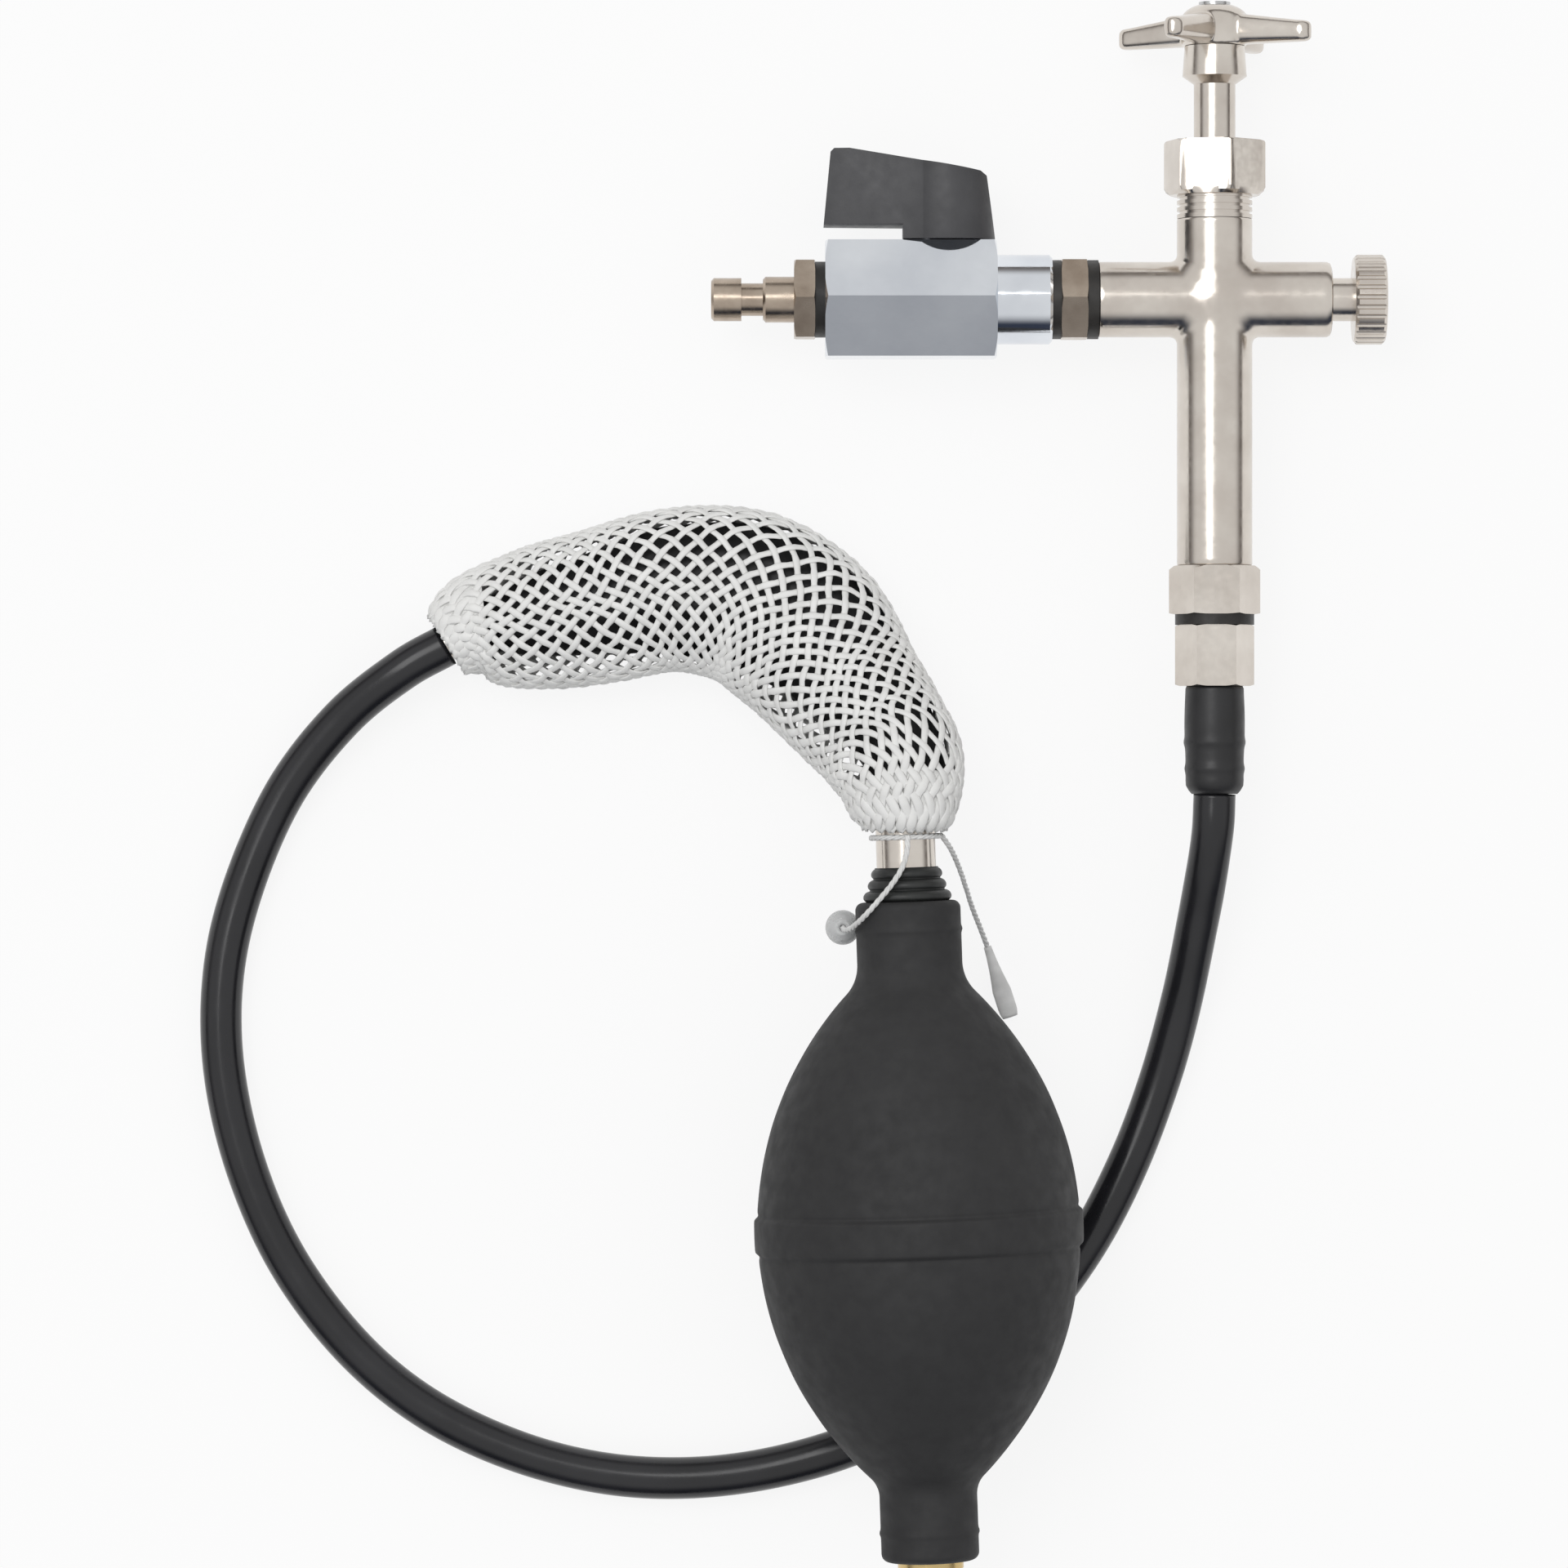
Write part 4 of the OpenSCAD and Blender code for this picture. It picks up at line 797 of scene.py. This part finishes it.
def cross_arm(turn, reach, chamfer, sides=96, rings=40):
    """One closed arm, from the corner lines out to its end."""
    c, s = math.cos(turn), math.sin(turn)
    points = []
    for i in range(rings):
        t = (i / (rings - 1)) ** 1.3
        for k in range(sides):
            a = 2 * math.pi * k / sides
            y, z = TUBE_R * math.cos(a), TUBE_R * math.sin(a)
            points.append((abs(y) + t * (reach - chamfer - abs(y)), y, z))
    points = cross_surface(np.array(points))
    # the last rings stay exactly round
    ends = [(reach - 0.3 * chamfer, TUBE_R - 0.3 * chamfer), (reach, TUBE_R - chamfer)]
    extra = [(x, r * math.cos(2 * math.pi * k / sides), r * math.sin(2 * math.pi * k / sides))
             for x, r in ends for k in range(sides)]
    points = np.vstack([points, extra])
    total = rings + len(ends)
    faces = ring_faces(total, sides)
    faces.append(tuple((total - 1) * sides + k for k in range(sides)))
    turned = [RIG + Vector((x * c - y * s, x * s + y * c, z)) for x, y, z in points]
    return turned, faces


X_AXIS, Y_AXIS = (1, 0, 0), (0, 1, 0)
# Bores of the cross: axis, from, to, radius
CROSS_BORES = [(X_AXIS, -23.1, -13.1, 5.55), (X_AXIS, -13.2, 9.0, 4.5), (X_AXIS, 8.9, 12.1, 2.2),
               (X_AXIS, 12.0, 23.1, 4.15), (Y_AXIS, 6.0, 16.3, 5.55), (Y_AXIS, -12.0, 6.1, 4.5),
               (Y_AXIS, -15.1, -11.9, 2.4), (Y_AXIS, -45.5, -15.0, 4.5), (Y_AXIS, -56.9, -45.4, 4.0)]


def bar(name, axis, low, high, r, sides=64):
    return mesh_piece(name, *lathe_mesh([(0, low), (r, low), (r, high), (0, high)], RIG, axis,
                                        sides))


def combined(piece, other, operation):
    """Adds another closed mesh to a piece, or takes it away."""
    mod = piece.modifiers.new("combine", "BOOLEAN")
    mod.operation, mod.object, mod.solver = operation, other, "EXACT"
    apply_modifiers(piece)
    bpy.data.objects.remove(other)


def make_cross(mats):
    points, faces = join_parts([cross_arm(0, 22.1, 0.9), cross_arm(math.pi / 2, 15.3, 0.3),
                                cross_arm(math.pi, 22.1, 0.3),
                                cross_arm(-math.pi / 2, 50.5, 0.3, rings=70)])
    cross = mesh_piece("cross_casting", points, faces)
    bm = bmesh.new()
    bm.from_mesh(cross.data)
    bmesh.ops.remove_doubles(bm, verts=bm.verts, dist=0.01 * MM)
    bmesh.ops.recalc_face_normals(bm, faces=bm.faces)
    bm.to_mesh(cross.data)
    bm.free()
    combined(cross, bar("cross_stub", Y_AXIS, -55.9, -49.0, 5.45), "UNION")
    for axis, low, high, r in CROSS_BORES:
        combined(cross, bar("cross_bore", axis, low, high, r), "DIFFERENCE")
    cross.name = "cross_casting"
    smooth_by_angle(cross, 30)
    cross.data.materials.clear()
    cross.data.materials.append(mats["nickel"])
    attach(cross, "frame")
    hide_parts("cross_body")


def handle_arm(turn):
    """One cast arm: high and broad at the hub, low and round at the tip."""
    reach, tip, sides = 19.9, 2.0, 28
    points = []
    stations = list(np.linspace(2.0, reach - 1.6, 22)) + [reach - 1.0, reach - 0.5, reach - 0.15,
                                                          reach]
    for x in stations:
        t = min(1.0, (x - 2.0) / (reach - tip - 2.0))
        half = 3.0 * (1 - t) + tip * t
        top = 6.5 - 2.3 * t
        near_end = max(0.0, (x - (reach - tip)) / tip)
        half *= math.sqrt(max(0.02, 1 - near_end ** 2))
        low = 0.15 + 0.5 * near_end ** 3
        top -= 0.6 * near_end ** 3
        mid, rise = (top + low) / 2, (top - low) / 2
        for k in range(sides):
            a = 2 * math.pi * k / sides
            c, s = math.cos(a), math.sin(a)
            square = 0.62
            u = math.copysign(abs(c) ** square, c) * half
            v = math.copysign(abs(s) ** square, s) * rise
            points.append((x, mid + v, u))
    n = len(stations)
    faces = ring_faces(n, sides)
    faces.append(tuple(range(sides)))
    faces.append(tuple((n - 1) * sides + k for k in range(sides)))
    c, s = math.cos(turn), math.sin(turn)
    return [(x * c + z * s, y, -x * s + z * c) for x, y, z in points], faces


def make_handle(mats):
    """The cast handle: four arms that grow out of a domed hub."""
    collar_y, turn = 48.0, -math.radians(28)
    parts = [handle_arm(turn + math.pi / 2 * k) for k in range(4)]
    dome = [(6.3 * math.cos(a), 5.2 + 3.1 * math.sin(a)) for a in np.linspace(0, 1.02, 10)]
    hub = [(0, 0.05), (6.1, 0.05), (6.3, 0.6)] + dome + [(3.2, 8.1), (3.2, 6.5), (0, 6.5)]
    parts.append(lathe_mesh(hub, (0, 0, 0), (0, 1, 0), 64))
    points, faces = join_parts(parts)
    points = [Vector(p) + RIG + Vector((0, collar_y, 0)) for p in points]
    handle = mesh_piece("handle_casting", points, faces)
    remesh = handle.modifiers.new("cast", "REMESH")
    remesh.mode = "VOXEL"
    remesh.voxel_size = 0.3 * MM
    soften = handle.modifiers.new("soften", "SMOOTH")
    soften.factor = 0.5
    soften.iterations = 7
    apply_modifiers(handle)
    handle.data.polygons.foreach_set("use_smooth", [True] * len(handle.data.polygons))
    handle.data.materials.clear()
    handle.data.materials.append(mats["nickel"])
    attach(handle, "spindle_set")
    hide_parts("cross_handle")


def intersected(piece, cutter, bevel, angle):
    """Keeps what two closed meshes share and rounds its edges."""
    cut = piece.modifiers.new("cut", "BOOLEAN")
    cut.operation, cut.object, cut.solver = "INTERSECT", cutter, "EXACT"
    soften = piece.modifiers.new("soften", "BEVEL")
    soften.width, soften.segments = bevel * MM, 3
    soften.limit_method, soften.angle_limit = "ANGLE", math.radians(angle)
    apply_modifiers(piece)
    bpy.data.objects.remove(cutter)
    smooth_by_angle(piece, 30)
    piece.data.materials.clear()


def make_packing_nut(mats):
    """The screw valve's nut: a hexagon with turned ends, one broad face up and to the left."""
    low, high, flats, turn = 19.7, 30.1, 17.0, -15
    sides = 144
    # the turned blank: distance along the axis and radius, before the flats are cut
    turned = [(low, 5.6), (low, 8.3), (low + 0.05, 8.5), (low + 0.7, 9.4), (low + 1.4, 9.9),
              (high - 0.5, 9.9), (high - 0.15, 9.6), (high, 9.2), (high, 4.1), (low + 6.6, 4.1),
              (low + 6.6, 5.6)]
    points = []
    for y, blank in turned:
        for k in range(sides):
            degrees = 360 * k / sides
            off = (degrees - turn + 30) % 60 - 30
            r = min(blank, flats / 2 / math.cos(math.radians(off)))
            a = math.radians(degrees)
            points.append(on_rig(r * math.sin(a), y, r * math.cos(a)))
    nut = mesh_piece("packing_nut_hex", points, ring_faces(len(turned), sides, loop=True))
    smooth_by_angle(nut, 24)
    nut.data.materials.append(mats["nickel"])
    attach(nut, "frame")
    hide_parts("packing_nut")


def make_lever(mats):
    """The moulded lever: a round hub and a tapering grip, with its edges rounded."""
    hub_r, reach, half, flat_y = 8.75, 23.8, 4.5, 11.2
    outline = [(-hub_r, flat_y), (-hub_r, 13.95), (-reach, 13.95), (-reach + 1.3, 27.7),
               (-reach + 2, 28.4), (-reach + 4.9, 28.4), (hub_r - 2.9, 24.0), (hub_r - 1.7, 23.1),
               (hub_r, flat_y)]
    n = len(outline)
    side = mesh_piece("lever_side", [on_rig(-50.4 + x, y, z) for z in (-9.8, 9.8)
                                     for x, y in outline],
                      [tuple(range(n)), tuple(range(n, 2 * n))]
                      + [(i, (i + 1) % n, n + (i + 1) % n, n + i) for i in range(n)], smooth=False)
    plan = [(-reach - 1, half), (-reach - 1, -half)]
    start = math.atan2(-0.8, -0.6)
    plan += [(hub_r * math.cos(a), hub_r * math.sin(a))
             for a in np.linspace(start, -start, 72)]
    m = len(plan)
    top = mesh_piece("lever_plan", [on_rig(-50.4 + x, y, z) for y in (8, 34) for x, z in plan],
                     [tuple(range(m)), tuple(range(m, 2 * m))]
                     + [(i, (i + 1) % m, m + (i + 1) % m, m + i) for i in range(m)], smooth=False)
    intersected(side, top, 0.7, 28)
    side.name = "lever_moulding"
    side.data.materials.append(mats["lever_plastic"])
    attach(side, "lever_set")
    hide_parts("lever")


# ---- CAD nodes that stay ----

KEPT = {
    "nickel": ["connector_tube", "outlet_ball_stop", "bladder_joiner", "hose_barb", "tube_end_nut",
               "valve_stem", "bonnet", "spindle", "vent_plug"],
    "nickel_dark": ["double_nipple", "plug_nipple"],
    "chrome": ["valve_end", "valve_body", "valve_ball"],
    "steel": ["inlet_ball", "inlet_filter", "outlet_ball", "lever_screw", "handle_screw"],
    "brass": ["inlet_valve_body", "inlet_ball_stop", "jumper"],
    "ptfe": ["ball_seat_left", "ball_seat_right", "stem_packing", "spindle_packing"],
    "seal_rubber": ["hose_seal", "seal_ring_a", "seal_ring_b", "plug_seal", "jumper_washer",
                    "vent_washer"],
}


def dress_kept_nodes(mats):
    for name, nodes in KEPT.items():
        for node in nodes:
            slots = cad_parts[node].material_slots
            for slot in slots:
                slot.material = mats[name]


def main():
    bpy.context.scene.view_settings.view_transform = "Standard"
    make_camera()
    mats = make_materials()
    make_cords(mats)
    make_world()
    make_lamp()
    make_floor()
    make_bulb(mats)
    make_bushing(mats)
    make_cuff(mats)
    bag = Bag()
    make_net(bag, mats)
    make_hems(bag, mats)
    make_bladder(bag, mats)
    make_mouth_loop(mats)
    make_cross(mats)
    make_handle(mats)
    make_lever(mats)
    make_packing_nut(mats)
    dress_kept_nodes(mats)


main()
